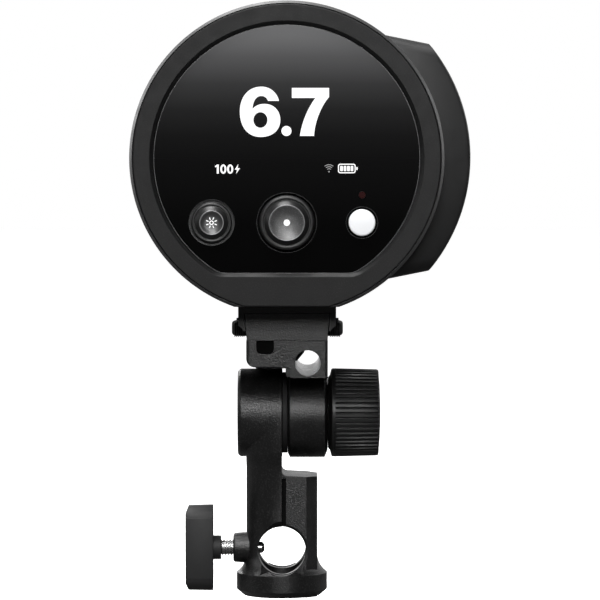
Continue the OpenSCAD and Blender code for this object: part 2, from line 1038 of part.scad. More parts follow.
module dock_rail() {
    y0 = -bracket_half - 1;
    y1 = bracket_half + 3;
    slope = 2;
    color("#1a1b1d")
        translate([head_x, 0, 0])
            difference() {
                outline_xz(y0, y1)
                    polygon([
                        [-rail_half, rail_top + 3], [-rail_half, 93.8],
                        [slope - rail_half, 91.8], [rail_half - slope, 91.8],
                        [rail_half, 93.8], [rail_half, rail_top + 3]
                    ]);
                // the head's tube sits in the saddle
                translate([0, 0, head_z])
                    intersection() {
                        along_y(y0 - 1, y1 + 1, body_r);
                        box(-70, 70, y0 - 1, y1 + 1, -belly, 80);
                    }
                // dovetail channel, closed at the front
                outline_xz(y0 - 1, bracket_half + 0.2)
                    polygon([
                        [-carriage_foot - rail_gap, carriage_z0 - 0.1],
                        [carriage_foot + rail_gap, carriage_z0 - 0.1],
                        [carriage_top + rail_gap, carriage_z1 + rail_gap],
                        [-carriage_top - rail_gap, carriage_z1 + rail_gap]
                    ]);
                for (x = [-10, 10], y = [-22, 22])
                    translate([x, y, carriage_z1]) {
                        cylinder(h = 10, r = pilot3_r + 0.1);
                        cylinder(h = 2, r = 2.9);
                    }
            }
}

module dock_screws() {
    color("Silver")
        translate([head_x, 0, carriage_z1])
            for (x = [-10, 10], y = [-22, 22])
                translate([x, y, 0]) {
                    translate([0, 0, 0.4])
                        cylinder(h = 1.6, r = 2.8);
                    translate([0, 0, 0.4])
                        cylinder(h = 9, r = screw3_r);
                }
}

// ---------- head: inside ----------

tray_z0 = -34;
tray_z1 = tray_z0 + 1.5;
power_z0 = tray_z1 + 3;
power_z1 = power_z0 + 1.6;
post_spots = [[-24, -26], [-24, 26], [14, -26], [14, 26]];

module chassis() {
    color("LightSteelBlue")
        at_head()
            difference() {
                union() {
                    box(-30, 24, -40, 44, tray_z0, tray_z1);
                    // upright rear and front ears that hold the boards and the fan
                    box(-16, 16, 42.4, 44, tray_z0, -20.2);
                    for (y = [-10, 4])
                        box(20.7, 22.15, y - 4, y + 4, tray_z0, -18);
                    for (p = post_spots)
                        translate([p[0], p[1], tray_z0])
                            cylinder(h = power_z0 - tray_z0, r = 2.4);
                }
                for (x = [-20, 20], y = [-30, 30])
                    translate([x, y, tray_z0 - 1])
                        cylinder(h = 4, r = pilot3_r + 0.1);
            }
}

module chassis_screws() {
    color("Silver")
        at_head()
            for (x = [-20, 20], y = [-30, 30])
                translate([x, y, 0]) {
                    translate([0, 0, -41])
                        cylinder(h = tray_z1 + 41, r = screw3_r);
                    translate([0, 0, tray_z1])
                        cylinder(h = 1.8, r = 2.8);
                }
}

module main_board() {
    x0 = 22.2;
    color("DarkGreen")
        at_head() {
            box(x0, x0 + 1.6, -39, 38, -25, 32);
            // processor, converter choke and connectors
            box(x0 - 2.2, x0, -30, -14, 4, 20);
            box(x0 - 4, x0, 16, 30, -20, -6);
            box(x0 - 3, x0, -36, -16, -22, -15);
        }
}

module power_board() {
    color("DarkGreen")
        at_head() {
            difference() {
                box(-30, 19, -38, 38, power_z0, power_z1);
                for (x = [-20, 20], y = [-30, 30])
                    translate([x, y, power_z0 - 1])
                        cylinder(h = 4, r = 3.2);
            }
            // switching transistors on their cooling block
            box(4, 12, -36, -10, power_z1, power_z1 + 12);
            box(2, 4, -34, -24, power_z1, power_z1 + 9);
            box(2, 4, -22, -12, power_z1, power_z1 + 9);
        }
}

can_r = 14;
can_spots = [[-23, 16.8], [-20, -11.6], [5.5, 27]];

module flash_capacitors() {
    color("#202a4a")
        at_head()
            for (p = can_spots)
                translate([p[0], 0, p[1]])
                    difference() {
                        turned_y()
                            soft_bar(0, can_r, -34, 27, 1.2, 0.4);
                        // crimped bead near the leads
                        turned_y()
                            translate([can_r + 0.6, 22])
                                circle(r = 1.2);
                    }
}

module trigger_coil() {
    color("#a86a20")
        at_head()
            translate([8, 0, power_z1 + 7]) {
                difference() {
                    turned_y()
                        polygon([
                            [0, 2], [7, 2], [7, 3.5], [5.5, 3.5], [5.5, 16.5], [7, 16.5], [7, 18], [0, 18]
                        ]);
                    along_y(0, 20, 2);
                }
            }
}

module battery_connector() {
    color("#303030")
        at_head()
            difference() {
                union() {
                    box(23.85, 31.4, -7.9, 7.9, -5.9, 5.9);
                    box(23.85, bay_wall_x, -10, 10, -8, 8);
                }
                // contact slots
                for (y = [-5, -1.6, 1.8, 5.2])
                    box(27, 32, y - 0.5, y + 0.5, -4, 4);
            }
}

module port_sockets() {
    color("Silver")
        at_head() {
            box(-44, -42.4, -34, -10, -8, 8);
            // spacers against the housing wall
            for (y = [-32.4, -11.4], z = [-6, 6])
                translate([0, y, z])
                    along_x(-47.5, -44, 1);
            difference() {
                box(-48.7, -44, -30.5, -21.5, -1.7, 1.7);
                box(-50, -45, -29.9, -22.1, -1.1, 1.1);
            }
            translate([0, -15.5, 0])
                difference() {
                    along_x(-48.6, -44, 3.2);
                    along_x(-50, -44.6, 1.8);
                }
        }
}

module port_cover() {
    color("#151515")
        at_head() {
            intersection() {
                difference() {
                    along_y(port_y0, port_y1, body_r + 0.5);
                    along_y(port_y0 - 1, port_y1 + 1, body_r - 1.1);
                }
                box(-60, -40, port_y0, port_y1, -port_half, port_half);
            }
            translate([-port_hinge_x, port_hinge_y, -5])
                cylinder(h = 10, r = 1.1);
            box(-port_hinge_x - 0.4, -port_hinge_x + 0.4, port_y1 - 0.5, port_hinge_y, -5, 5);
        }
}

fan_y0 = 44.1;
fan_y1 = 53;

module fan_frame() {
    half = 20;
    color("#202020")
        at_head()
            difference() {
                union() {
                    difference() {
                        box(-half, half, fan_y0, fan_y1, -half, half);
                        along_y(fan_y0 - 1, fan_y1 + 1, 19);
                    }
                    // hub plate on three struts
                    along_y(fan_y1 - 1.6, fan_y1, 8);
                    for (a = [90, 210, 330])
                        rotate([0, a, 0])
                            box(6, 19.5, fan_y1 - 1.6, fan_y1, -1.2, 1.2);
                    along_y(fan_y0 + 2.4, fan_y1 - 1, 1.4);
                }
                for (x = [-1, 1], z = [-1, 1])
                    translate([x * 17, 0, z * 17])
                        along_y(fan_y0 - 1, fan_y1 + 1, 1.6);
            }
}

module fan_rotor() {
    blades = 7;
    color("#2c2c2c")
        at_head()
            difference() {
                union() {
                    along_y(fan_y0 + 0.6, fan_y1 - 2, 7.8);
                    for (i = [0 : blades - 1])
                        rotate([0, i * 360 / blades, 0])
                            translate([7, (fan_y0 + fan_y1) / 2 - 0.8, 0])
                                rotate([38, 0, 0])
                                    translate([0, -0.5, -4])
                                        cube([11.2, 1, 8]);
                }
                along_y(fan_y0 + 2.3, fan_y1, 1.4 + play);
            }
}

module led_heatsink() {
    fins = 7;
    pitch = 4.6;
    sink_r = 18;
    fin_half = 0.6;
    color("LightGray")
        at_head() {
            along_y(bulkhead_y - 4, bulkhead_y, sink_r);
            for (i = [0 : fins - 1])
                intersection() {
                    translate([0, 0, (i - 3) * pitch])
                        box(-sink_r, sink_r, fan_y1 + 2, bulkhead_y - 3, -fin_half, fin_half);
                    along_y(fan_y1 + 1, bulkhead_y, sink_r - 0.5);
                }
        }
}

module lamp_bulkhead() {
    color("WhiteSmoke")
        at_head()
            difference() {
                along_y(bulkhead_y, bulkhead_y + 3, barrel_bore - 0.1);
                // window for the lamp module, holes for the tube's legs, air slots
                along_y(bulkhead_y - 1, bulkhead_y + 4, 12);
                for (s = [-1, 1])
                    rotate([0, s * 15, 0])
                        translate([0, 0, -tube_ring_r])
                            along_y(bulkhead_y - 1, bulkhead_y + 4, 3.4);
                for (a = [0 : 30 : 330])
                    rotate([0, a, 0])
                        box(33, 42, bulkhead_y - 1, bulkhead_y + 4, -2, 2);
            }
}

module led_module() {
    color("Khaki")
        at_head()
            difference() {
                union() {
                    along_y(bulkhead_y, bulkhead_y + 1.6, 11.8);
                    intersection() {
                        translate([0, bulkhead_y - 2.4, 0])
                            sphere(r = 9);
                        along_y(bulkhead_y + 1, bulkhead_y + 10, 9);
                    }
                }
                for (s = [-1, 1])
                    translate([s * 9.6, 0, 0])
                        along_y(bulkhead_y - 1, bulkhead_y + 4, 1.1);
            }
}

tube_ring_r = 21;
tube_r = 3.2;

module flash_tube() {
    tube_y = bulkhead_y + 14;
    leg_angle = 15;
    leg_x = tube_ring_r * sin(leg_angle);
    color("AliceBlue")
        at_head() {
            // ring of glass, open between its two legs
            difference() {
                translate([0, tube_y, 0])
                    rotate([-90, 0, 0])
                        rotate_extrude()
                            translate([tube_ring_r, 0])
                                circle(r = tube_r);
                box(-leg_x, leg_x, tube_y - 5, tube_y + 5, -tube_ring_r - 5, 0);
            }
            for (s = [-1, 1])
                rotate([0, s * leg_angle, 0])
                    translate([0, 0, -tube_ring_r]) {
                        along_y(bulkhead_y - 5, tube_y, 2.6);
                        along_y(tube_y - 3.9, tube_y + 3.7, tube_r + 0.5);
                    }
        }
}

function bowl_y(r) = bulkhead_y + 3.2 + 24.5 * pow((r - 12.5) / (barrel_bore - 14), 1.7);

module reflector() {
    sheet = 0.9;
    rim = barrel_bore - 1.5;
    steps = 12;
    radii = [for (i = [0 : steps]) 12.6 + (rim - 12.6) * i / steps];
    color("Gainsboro")
        at_head()
            difference() {
                turned_y()
                    polygon(concat(
                        [for (r = radii) [r, bowl_y(r)]],
                        [for (i = [steps : -1 : 0]) [radii[i], bowl_y(radii[i]) + sheet]]
                    ));
                for (s = [-1, 1])
                    rotate([0, s * 15, 0])
                        translate([0, 0, -tube_ring_r])
                            along_y(bulkhead_y, bulkhead_y + 12, 3);
            }
}

module front_barrel() {
    slots = 24;
    ledge = 1.8;
    color("#222426")
        at_head()
            difference() {
                turned_y()
                    union() {
                        // spigot into the housing, vent neck, barrel
                        translate([barrel_bore - 1, spigot_y0])
                            square([inner_r - 0.1 - barrel_bore + 1, vents_y1 - spigot_y0 + 1]);
                        soft_bar(barrel_bore, barrel_r, vents_y1, barrel_y1, 0.6, 0.6);
                        translate([barrel_bore - 2.5, bulkhead_y - ledge])
                            square([3, ledge]);
                    }
                for (i = [0 : slots - 1])
                    rotate([0, (i + 0.5) * 360 / slots, 0])
                        box(40, 60, housing_y1 + 1.4, vents_y1 - 1.4, -2.2, 2.2);
            }
}

glass_dome = 119.6;
glass_edge_y0 = barrel_y1 - 6.6;

module front_glass() {
    thick = 3;
    color("White")
        at_head()
            union() {
                intersection() {
                    difference() {
                        translate([0, front_y - 2 - glass_dome, 0])
                            sphere(r = glass_dome, $fn = 180);
                        translate([0, front_y - 2 - glass_dome, 0])
                            sphere(r = glass_dome - thick, $fn = 180);
                    }
                    along_y(barrel_y1 - 10, front_y, 43);
                }
                difference() {
                    along_y(glass_edge_y0, glass_edge_y0 + 2.6, barrel_bore - 0.15);
                    along_y(glass_edge_y0 - 1, glass_edge_y0 + 4, 42.2);
                }
            }
}

module front_ring() {
    color("#2a2b2d")
        at_head()
            turned_y()
                difference() {
                    union() {
                        soft_bar(43.2, barrel_r - 0.8, barrel_y1, front_y, 0.2, 1.2);
                        translate([43.2, glass_edge_y0 + 2.6])
                            square([barrel_bore - 0.1 - 43.2, barrel_y1 - glass_edge_y0]);
                    }
                    // flared mouth
                    polygon([[43, front_y - 2.2], [45.6, front_y + 0.1], [43, front_y + 0.1]]);
                }
}

// ---------- battery ----------

module battery_side(inset, s) {
    y0 = battery_y0 + inset;
    y1 = battery_y1 - inset;
    half = battery_half - inset;
    brow = 4.3 - inset;
    mirror([0, 0, s])
        translate([battery_x, 0, 0])
            rotate([0, battery_slope, 0])
                outline_zy(-30, 60)
                    polygon(concat(
                        [[-90, y0]],
                        [for (a = [0 : 15 : 90]) [half - brow * (1 - sin(a)), y0 + brow * (1 - cos(a))]],
                        [[half, y1], [-90, y1]]
                    ));
}

module battery_solid(inset) {
    y0 = battery_y0 + inset;
    y1 = battery_y1 - inset;
    r = battery_r - inset;
    edge = 1.2;
    at_head()
        intersection() {
            box(battery_x + inset, 70, y0 - 1, y1 + 1, -60, 60);
            // curved side
            translate([battery_axis, 0, 0])
                turned_y()
                    polygon([
                        [0, y0], [r - edge, y0], [r - 0.35, y0 + 0.35], [r, y0 + edge],
                        [r, y1 - edge], [r - 0.35, y1 - 0.35], [r - edge, y1], [0, y1]
                    ]);
            // sloping top and bottom, well rounded towards the rear
            battery_side(inset, 0);
            battery_side(inset, 1);
        }
}

// opening in the curved side for the latch, and for the gauge window and its button
module side_openings() {
    at_head() {
        box(55, 70, latch_y - 8, latch_y + 8, -4, 4);
        for (i = [0 : 3])
            translate([0, gauge_y + i * gauge_pitch, 0])
                along_x(55, 70, 0.9);
        translate([0, check_y, 0])
            along_x(55, 70, 2.6);
    }
}

module battery_tray() {
    color("#1c1d1f")
        difference() {
            intersection() {
                difference() {
                    battery_solid(0);
                    battery_solid(shell);
                }
                at_head()
                    box(0, battery_seam, -80, 80, -80, 80);
            }
            at_head() {
                box(20, battery_seam, -8.6, 8.6, -6.6, 6.6);
                // finger recesses along both long edges
                for (s = [-1, 1])
                    translate([battery_x - 0.2, 0, s * (battery_half + 1.2)])
                        along_y(-12, 12, 2.2);
            }
        }
}

module battery_cover() {
    color("#26282a")
        difference() {
            intersection() {
                difference() {
                    battery_solid(0);
                    battery_solid(shell);
                }
                at_head()
                    box(battery_seam, 80, -80, 80, -80, 80);
            }
            side_openings();
        }
}

cell_spots = [[40.3, 27.5], [44, 9.3], [44, -9.3], [40.3, -27.5]];

module battery_cells() {
    color("SteelBlue")
        at_head()
            for (p = cell_spots)
                translate([p[0], 0, p[1]])
                    turned_y()
                        soft_bar(0, cell_r, -24.5, cell_length - 24.5, 0.6, 0.6);
}

module battery_terminals() {
    color("DarkGoldenrod")
        at_head() {
            // socket for the head's connector
            difference() {
                box(battery_x + 0.1, 34.3, -8.5, 8.5, -6.5, 6.5);
                box(battery_x - 1, 32.2, -8, 8, -6, 6);
            }
            // charge and gauge board across the front ends of the cells, with its small lamps
            box(34.6, 46, 41, 42.6, -30, 30);
            box(53.8, 55, gauge_y - 3, check_y + 4, -5, 5);
            for (i = [0 : 3])
                translate([0, gauge_y + i * gauge_pitch, 0])
                    along_x(55, 60.7, 0.85);
        }
}

module battery_latch() {
    color("#101012")
        at_head() {
            intersection() {
                box(58, 70, latch_y - 7.8, latch_y + 7.8, -3.8, 3.8);
                translate([battery_axis, 0, 0])
                    along_y(-60, 60, battery_r + 0.5);
            }
            box(57.3, 58.6, latch_y - 9, latch_y + 9, -5, 5);
        }
}

module gauge_button() {
    color("#101012")
        at_head()
            translate([0, check_y, 0]) {
                along_x(58, 61.3, 2.5);
                along_x(57.6, 58.7, 3.4);
            }
}

// ---------- drawing ----------

stand_arm();
tilt_bolt();
bolt_cap();
friction_disc();
thrust_washer();
knob_grip();
knob_insert();
knob_cap();
clamp_tip();
clamp_screw();
clamp_handle();
tilt_bracket();
pivot_bush();
carriage();
carriage_screws();
umbrella_pad();
release_left();
release_right();
rear_housing();
panel_ring();
panel_glass();
display_module();
control_board();
board_screws();
ring_screws();
encoder_body();
encoder_plunger();
dial_shaft();
dial_knob();
light_button();
test_button();
tact_switches();
ready_lamp();
dock_rail();
dock_screws();
chassis();
chassis_screws();
main_board();
power_board();
flash_capacitors();
trigger_coil();
battery_connector();
port_sockets();
port_cover();
fan_frame();
fan_rotor();
led_heatsink();
led_module();
lamp_bulkhead();
flash_tube();
reflector();
front_barrel();
front_glass();
front_ring();
battery_tray();
battery_cover();
battery_cells();
battery_terminals();
battery_latch();
gauge_button();
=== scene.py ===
"""Looks for the battery monolight: fine meshes, materials, readout, light, camera. Metres, row frame."""
import math

import bmesh
import bpy
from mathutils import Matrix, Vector


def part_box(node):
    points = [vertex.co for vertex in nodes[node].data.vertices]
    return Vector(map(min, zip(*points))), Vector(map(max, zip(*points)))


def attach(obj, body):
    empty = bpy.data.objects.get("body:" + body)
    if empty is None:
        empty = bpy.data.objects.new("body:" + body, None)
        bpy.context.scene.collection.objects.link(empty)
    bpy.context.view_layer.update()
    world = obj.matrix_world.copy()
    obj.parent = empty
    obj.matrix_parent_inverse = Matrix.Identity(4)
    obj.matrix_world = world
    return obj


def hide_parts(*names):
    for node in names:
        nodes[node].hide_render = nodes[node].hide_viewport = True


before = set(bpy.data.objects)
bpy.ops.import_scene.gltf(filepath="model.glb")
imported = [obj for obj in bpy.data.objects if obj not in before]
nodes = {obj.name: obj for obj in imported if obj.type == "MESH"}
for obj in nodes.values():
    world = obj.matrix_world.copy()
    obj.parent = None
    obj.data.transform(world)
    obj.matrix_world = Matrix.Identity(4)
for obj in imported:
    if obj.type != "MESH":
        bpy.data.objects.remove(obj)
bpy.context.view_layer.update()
MM = 0.001
TAU = 2 * math.pi
scene = bpy.context.scene
palette = {}

# ---------------------------------------------------------------- places taken from the frame


def middle(node):
    lo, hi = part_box(node)
    return (lo + hi) / 2


def half_x(node):
    lo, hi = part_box(node)
    return (hi.x - lo.x) / 2


glass_lo, glass_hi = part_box("panel_glass")
glass_r = (glass_hi.x - glass_lo.x) / 2
head = Vector(((glass_lo.x + glass_hi.x) / 2, 0, glass_hi.z - glass_r))
glass_front = glass_lo.y
ring_lo, ring_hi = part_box("panel_ring")
dial = middle("dial_knob")
light_key = middle("light_button")
test_key = middle("test_button")
tilt = middle("tilt_bolt")
clamp = middle("clamp_screw")


# ---------------------------------------------------------------- node helpers


class Tree:
    """Short calls for building a node tree."""

    def __init__(self, tree):
        self.tree = tree

    def node(self, kind, **values):
        made = self.tree.nodes.new(kind)
        for key, value in values.items():
            setattr(made, key, value)
        return made

    def link(self, out, into):
        self.tree.links.new(out, into)

    def value(self, socket, given):
        if hasattr(given, "is_output"):
            self.link(given, socket)
        else:
            socket.default_value = given

    def math(self, op, a, b=0.0, c=0.0, clamp=False):
        made = self.node("ShaderNodeMath", operation=op, use_clamp=clamp)
        self.value(made.inputs[0], a)
        self.value(made.inputs[1], b)
        self.value(made.inputs[2], c)
        return made.outputs[0]

    def mix(self, factor, a, b):
        made = self.node("ShaderNodeMix", data_type="RGBA")
        self.value(made.inputs[0], factor)
        self.value(made.inputs[6], a)
        self.value(made.inputs[7], b)
        return made.outputs[2]

    def span(self, source, low, high, out_low=0.0, out_high=1.0):
        made = self.node("ShaderNodeMapRange")
        self.value(made.inputs[0], source)
        for index, given in enumerate((low, high, out_low, out_high)):
            self.value(made.inputs[index + 1], given)
        return made.outputs[0]

    def noise(self, where, per_metre, detail=2.0, rough=0.5):
        made = self.node("ShaderNodeTexNoise")
        self.value(made.inputs["Vector"], where)
        made.inputs["Scale"].default_value = per_metre
        made.inputs["Detail"].default_value = detail
        made.inputs["Roughness"].default_value = rough
        return made.outputs["Fac"]


def rgba(colour):
    return (colour[0], colour[1], colour[2], 1.0)


def grey(level):
    return (level, level, level * 1.02)


def finish(name, colour, rough, grain=0.3, bump=0.35, speck_and_glint=0.0, mottle=0.12, wear=0.25, metal=0.0,
           coat=0.0, round_mm=0.18, spec=0.5, stretch=(1, 1, 1), depth=0.25, drift=0.06, speck_glint_lift=0.004, extra=None):
    """A finish with fine grain, uneven gloss, slight colour drift, lighter worn edges and, if asked, light specks
    that are partly real speckle and partly painted glints.
    """
    if name in palette:
        return palette[name]
    mat = bpy.data.materials.new(name)
    mat.use_nodes = True
    t = Tree(mat.node_tree)
    bsdf = mat.node_tree.nodes["Principled BSDF"]
    where = t.node("ShaderNodeTexCoord").outputs["Object"]
    mapping = t.node("ShaderNodeMapping")
    t.link(where, mapping.inputs["Vector"])
    mapping.inputs["Scale"].default_value = stretch
    place = mapping.outputs["Vector"]
    fine = t.noise(place, 1 / (grain * MM), 2.5, 0.6)
    broad = t.noise(where, 55.0, 3.0, 0.55)
    cloud = t.noise(where, 230.0, 2.0, 0.5)
    tone = t.mix(t.span(broad, 0.3, 0.7), rgba([c * (1 - mottle) for c in colour]),
                 rgba([min(1, c * (1 + mottle)) for c in colour]))
    # light specks in the colour: partly real speckle, partly painted glints standing in for sparkle
    if speck_and_glint:
        specks_and_glints = t.span(fine, 0.54, 0.70)
        tone = t.mix(t.math("MULTIPLY", specks_and_glints, min(1.0, speck_and_glint)), tone,
                     rgba([min(1, c * 3 + speck_glint_lift) for c in colour]))
    edge = t.node("ShaderNodeBevel", samples=4)
    edge.inputs["Radius"].default_value = round_mm * MM
    true_normal = t.node("ShaderNodeNewGeometry").outputs["Normal"]
    dot = t.node("ShaderNodeVectorMath", operation="DOT_PRODUCT")
    t.link(edge.outputs[0], dot.inputs[0])
    t.link(true_normal, dot.inputs[1])
    rubbed = t.span(dot.outputs["Value"], 0.985, 0.86)
    rubbed = t.math("MULTIPLY", rubbed, t.span(cloud, 0.35, 0.62))
    rubbed = t.math("MULTIPLY", rubbed, wear, clamp=True)
    bare = [min(1, c * 1.6 + 0.10) for c in colour]
    tone = t.mix(rubbed, tone, rgba(bare))
    t.link(tone, bsdf.inputs["Base Color"])
    gloss = t.span(cloud, 0.25, 0.75, max(0.03, rough - drift), min(1, rough + drift))
    gloss = t.math("SUBTRACT", gloss, t.math("MULTIPLY", rubbed, 0.12), clamp=True)
    t.link(gloss, bsdf.inputs["Roughness"])
    relief = t.node("ShaderNodeBump")
    relief.inputs["Strength"].default_value = bump
    relief.inputs["Distance"].default_value = depth * grain * MM
    t.link(fine, relief.inputs["Height"])
    t.link(edge.outputs[0], relief.inputs["Normal"])
    t.link(relief.outputs[0], bsdf.inputs["Normal"])
    bsdf.inputs["Metallic"].default_value = metal
    bsdf.inputs["Coat Weight"].default_value = coat
    bsdf.inputs["Coat Roughness"].default_value = 0.12
    bsdf.inputs["Specular IOR Level"].default_value = spec
    if extra:
        extra(t, bsdf, where)
    palette[name] = mat
    return mat


def glow(name, level, colour=(1, 1, 1), grain_per_metre=9000.0):
    """Lit print on the readout: even light with a faint cell pattern."""
    if name in palette:
        return palette[name]
    mat = bpy.data.materials.new(name)
    mat.use_nodes = True
    t = Tree(mat.node_tree)
    bsdf = mat.node_tree.nodes["Principled BSDF"]
    where = t.node("ShaderNodeTexCoord").outputs["Object"]
    cells = t.span(t.noise(where, grain_per_metre, 1.0), 0.3, 0.7, 0.94 * level, 1.06 * level)
    bsdf.inputs["Base Color"].default_value = (0.02, 0.02, 0.02, 1)
    bsdf.inputs["Roughness"].default_value = 0.5
    bsdf.inputs["Emission Color"].default_value = rgba(colour)
    t.link(cells, bsdf.inputs["Emission Strength"])
    palette[name] = mat
    return mat


# ---------------------------------------------------------------- finishes


def painted_reflection_gradient(t, bsdf, where):
    """Painted reflection: the front glass's colour runs from a grey haze at the top down to black, in place of a
    softbox's reflection.
    """
    split = t.node("ShaderNodeSeparateXYZ")
    t.link(where, split.inputs[0])
    height = t.span(split.outputs["Z"], head.z - 44 * MM, head.z + 44 * MM)
    ramp = t.node("ShaderNodeValToRGB")
    stops = ramp.color_ramp.elements
    stops[0].position, stops[0].color = 0.0, rgba(grey(0.0018))
    stops[1].position, stops[1].color = 1.0, rgba(grey(0.17))
    for place, level in ((0.25, 0.0022), (0.486, 0.005), (0.583, 0.008), (0.68, 0.016), (0.777, 0.036),
                         (0.874, 0.080)):
        stop = stops.new(place)
        stop.color = rgba(grey(level))
    t.link(height, ramp.inputs[0])
    t.link(ramp.outputs[0], bsdf.inputs["Base Color"])


def spun_rings(centre, axis_index, pitch_mm, depth):
    """Fine turned grooves round an axis."""

    def add(t, bsdf, where):
        shifted = t.node("ShaderNodeVectorMath", operation="SUBTRACT")
        t.link(where, shifted.inputs[0])
        shifted.inputs[1].default_value = centre
        flat = t.node("ShaderNodeVectorMath", operation="MULTIPLY")
        t.link(shifted.outputs[0], flat.inputs[0])
        keep = [1.0, 1.0, 1.0]
        keep[axis_index] = 0.0
        flat.inputs[1].default_value = keep
        away = t.node("ShaderNodeVectorMath", operation="LENGTH")
        t.link(flat.outputs[0], away.inputs[0])
        wave = t.math("SINE", t.math("MULTIPLY", away.outputs["Value"], TAU / (pitch_mm * MM)))
        relief = t.node("ShaderNodeBump")
        relief.inputs["Strength"].default_value = depth
        relief.inputs["Distance"].default_value = 0.01 * MM
        t.link(wave, relief.inputs["Height"])
        old = bsdf.inputs["Normal"].links[0].from_socket
        t.link(old, relief.inputs["Normal"])
        t.link(relief.outputs[0], bsdf.inputs["Normal"])

    return add


def self_lit(strength):
    """A little light of its own, for white parts that stay bright in a dark set."""

    def add(t, bsdf, where):
        bsdf.inputs["Emission Color"].default_value = (1, 1, 1, 1)
        bsdf.inputs["Emission Strength"].default_value = strength

    return add


# cast parts: light specks partly powder-coat speckle, partly painted glints
cast_black = finish("cast_black", grey(0.003), 0.34, grain=0.5, bump=0.75, speck_and_glint=1.0, mottle=0.2,
                    wear=0.08, round_mm=0.35, spec=0.62, depth=0.35, speck_glint_lift=0.02)
ring_grey = finish("ring_grey", grey(0.006), 0.46, grain=0.4, bump=0.30, speck_and_glint=0.6, mottle=0.08,
                   wear=0.10, round_mm=0.2, spec=0.22)
shell_grey = finish("shell_grey", grey(0.012), 0.46, grain=0.24, bump=0.32, speck_and_glint=0.12, mottle=0.10,
                    wear=0.18, round_mm=0.3, spec=0.4)
battery_black = finish("battery_black", grey(0.008), 0.44, grain=0.24, bump=0.32, speck_and_glint=0.1,
                       mottle=0.10, wear=0.18, round_mm=0.3, spec=0.4)
barrel_black = finish("barrel_black", grey(0.020), 0.38, grain=0.2, bump=0.2, mottle=0.10, wear=0.3)
plastic_black = finish("plastic_black", grey(0.005), 0.42, grain=0.25, bump=0.25, mottle=0.12,
                       wear=0.25)
knob_black = finish("knob_black", grey(0.005), 0.42, grain=0.2, bump=0.22, mottle=0.1, wear=0.2,
                    round_mm=0.15)
tee_grey = finish("tee_grey", grey(0.022), 0.52, grain=0.28, bump=0.3, speck_and_glint=0.1, mottle=0.08,
                  wear=0.15, round_mm=0.3, spec=0.3)
rubber_black = finish("rubber_black", grey(0.012), 0.72, grain=0.35, bump=0.3, mottle=0.15, wear=0.1,
                      spec=0.3)
key_black = finish("key_black", grey(0.006), 0.40, grain=0.12, bump=0.04, mottle=0.05, wear=0.0,
                   round_mm=0.05, spec=0.5, drift=0.0, extra=spun_rings(light_key, 1, 0.16, 0.25))
dial_black = finish("dial_black", grey(0.006), 0.40, grain=0.1, bump=0.04, mottle=0.05, wear=0.0,
                    round_mm=0.05, spec=0.5, drift=0.0, extra=spun_rings(dial, 1, 0.22, 0.35))
white_key = finish("white_key", (0.86, 0.87, 0.89), 0.35, grain=0.3, bump=0.06, mottle=0.02,
                   wear=0.0, round_mm=0.15, extra=self_lit(0.03))
# front glass: near black, with a painted reflection that is grey at the top and fades to black
panel_painted_reflection = finish("panel_painted_reflection", grey(0.01), 0.05, grain=0.08, bump=0.0, mottle=0.0, wear=0.0,
                     round_mm=0.02, spec=0.2, drift=0.0, extra=painted_reflection_gradient)
# lighter grey for a thin ring at the glass edge: a painted highlight
glass_edge_highlight = finish("glass_edge_highlight", grey(0.09), 0.25, grain=0.1, bump=0.03, mottle=0.05, wear=0.0,
                    round_mm=0.04)
zinc = finish("zinc", (0.55, 0.56, 0.57), 0.32, grain=0.25, bump=0.18, mottle=0.12, wear=0.2,
              metal=1.0)
bright_steel = finish("bright_steel", (0.62, 0.62, 0.62), 0.22, grain=0.2, bump=0.15, mottle=0.1,
                      wear=0.2, metal=1.0, stretch=(6, 1, 1))
mill_aluminium = finish("mill_aluminium", (0.72, 0.73, 0.74), 0.34, grain=0.4, bump=0.2, mottle=0.08,
                        wear=0.2, metal=1.0, stretch=(1, 6, 1))
bronze = finish("bronze", (0.42, 0.26, 0.13), 0.38, grain=0.22, bump=0.3, mottle=0.2, wear=0.3,
                metal=1.0)
brass = finish("brass", (0.72, 0.52, 0.2), 0.28, grain=0.25, bump=0.12, mottle=0.12, wear=0.2,
               metal=1.0)
solder_resist = finish("solder_resist", (0.015, 0.10, 0.035), 0.3, grain=0.5, bump=0.15, mottle=0.3,
                       wear=0.1, coat=0.4)
can_sleeve = finish("can_sleeve", (0.02, 0.03, 0.09), 0.25, grain=0.5, bump=0.08, mottle=0.12,
                    wear=0.1, coat=0.5)
winding = finish("winding", (0.45, 0.18, 0.05), 0.3, grain=0.16, bump=0.6, mottle=0.2, wear=0.1,
                 metal=0.8, stretch=(1, 8, 1))
lamp_white = finish("lamp_white", (0.78, 0.78, 0.75), 0.4, grain=0.3, bump=0.12, mottle=0.05,
                    wear=0.05)
phosphor = finish("phosphor", (0.85, 0.66, 0.16), 0.35, grain=0.18, bump=0.25, mottle=0.1, wear=0.0)
reflector_bright = finish("reflector_bright", (0.88, 0.88, 0.89), 0.16, grain=1.1, bump=0.45,
                          mottle=0.03, wear=0.0, metal=1.0)
friction_fibre = finish("friction_fibre", grey(0.02), 0.62, grain=0.3, bump=0.5, speck_and_glint=0.3,
                        mottle=0.2, wear=0.1, spec=0.3)
cell_wrap = finish("cell_wrap", (0.03, 0.12, 0.26), 0.25, grain=0.6, bump=0.06, mottle=0.1, wear=0.1,
                   coat=0.5)
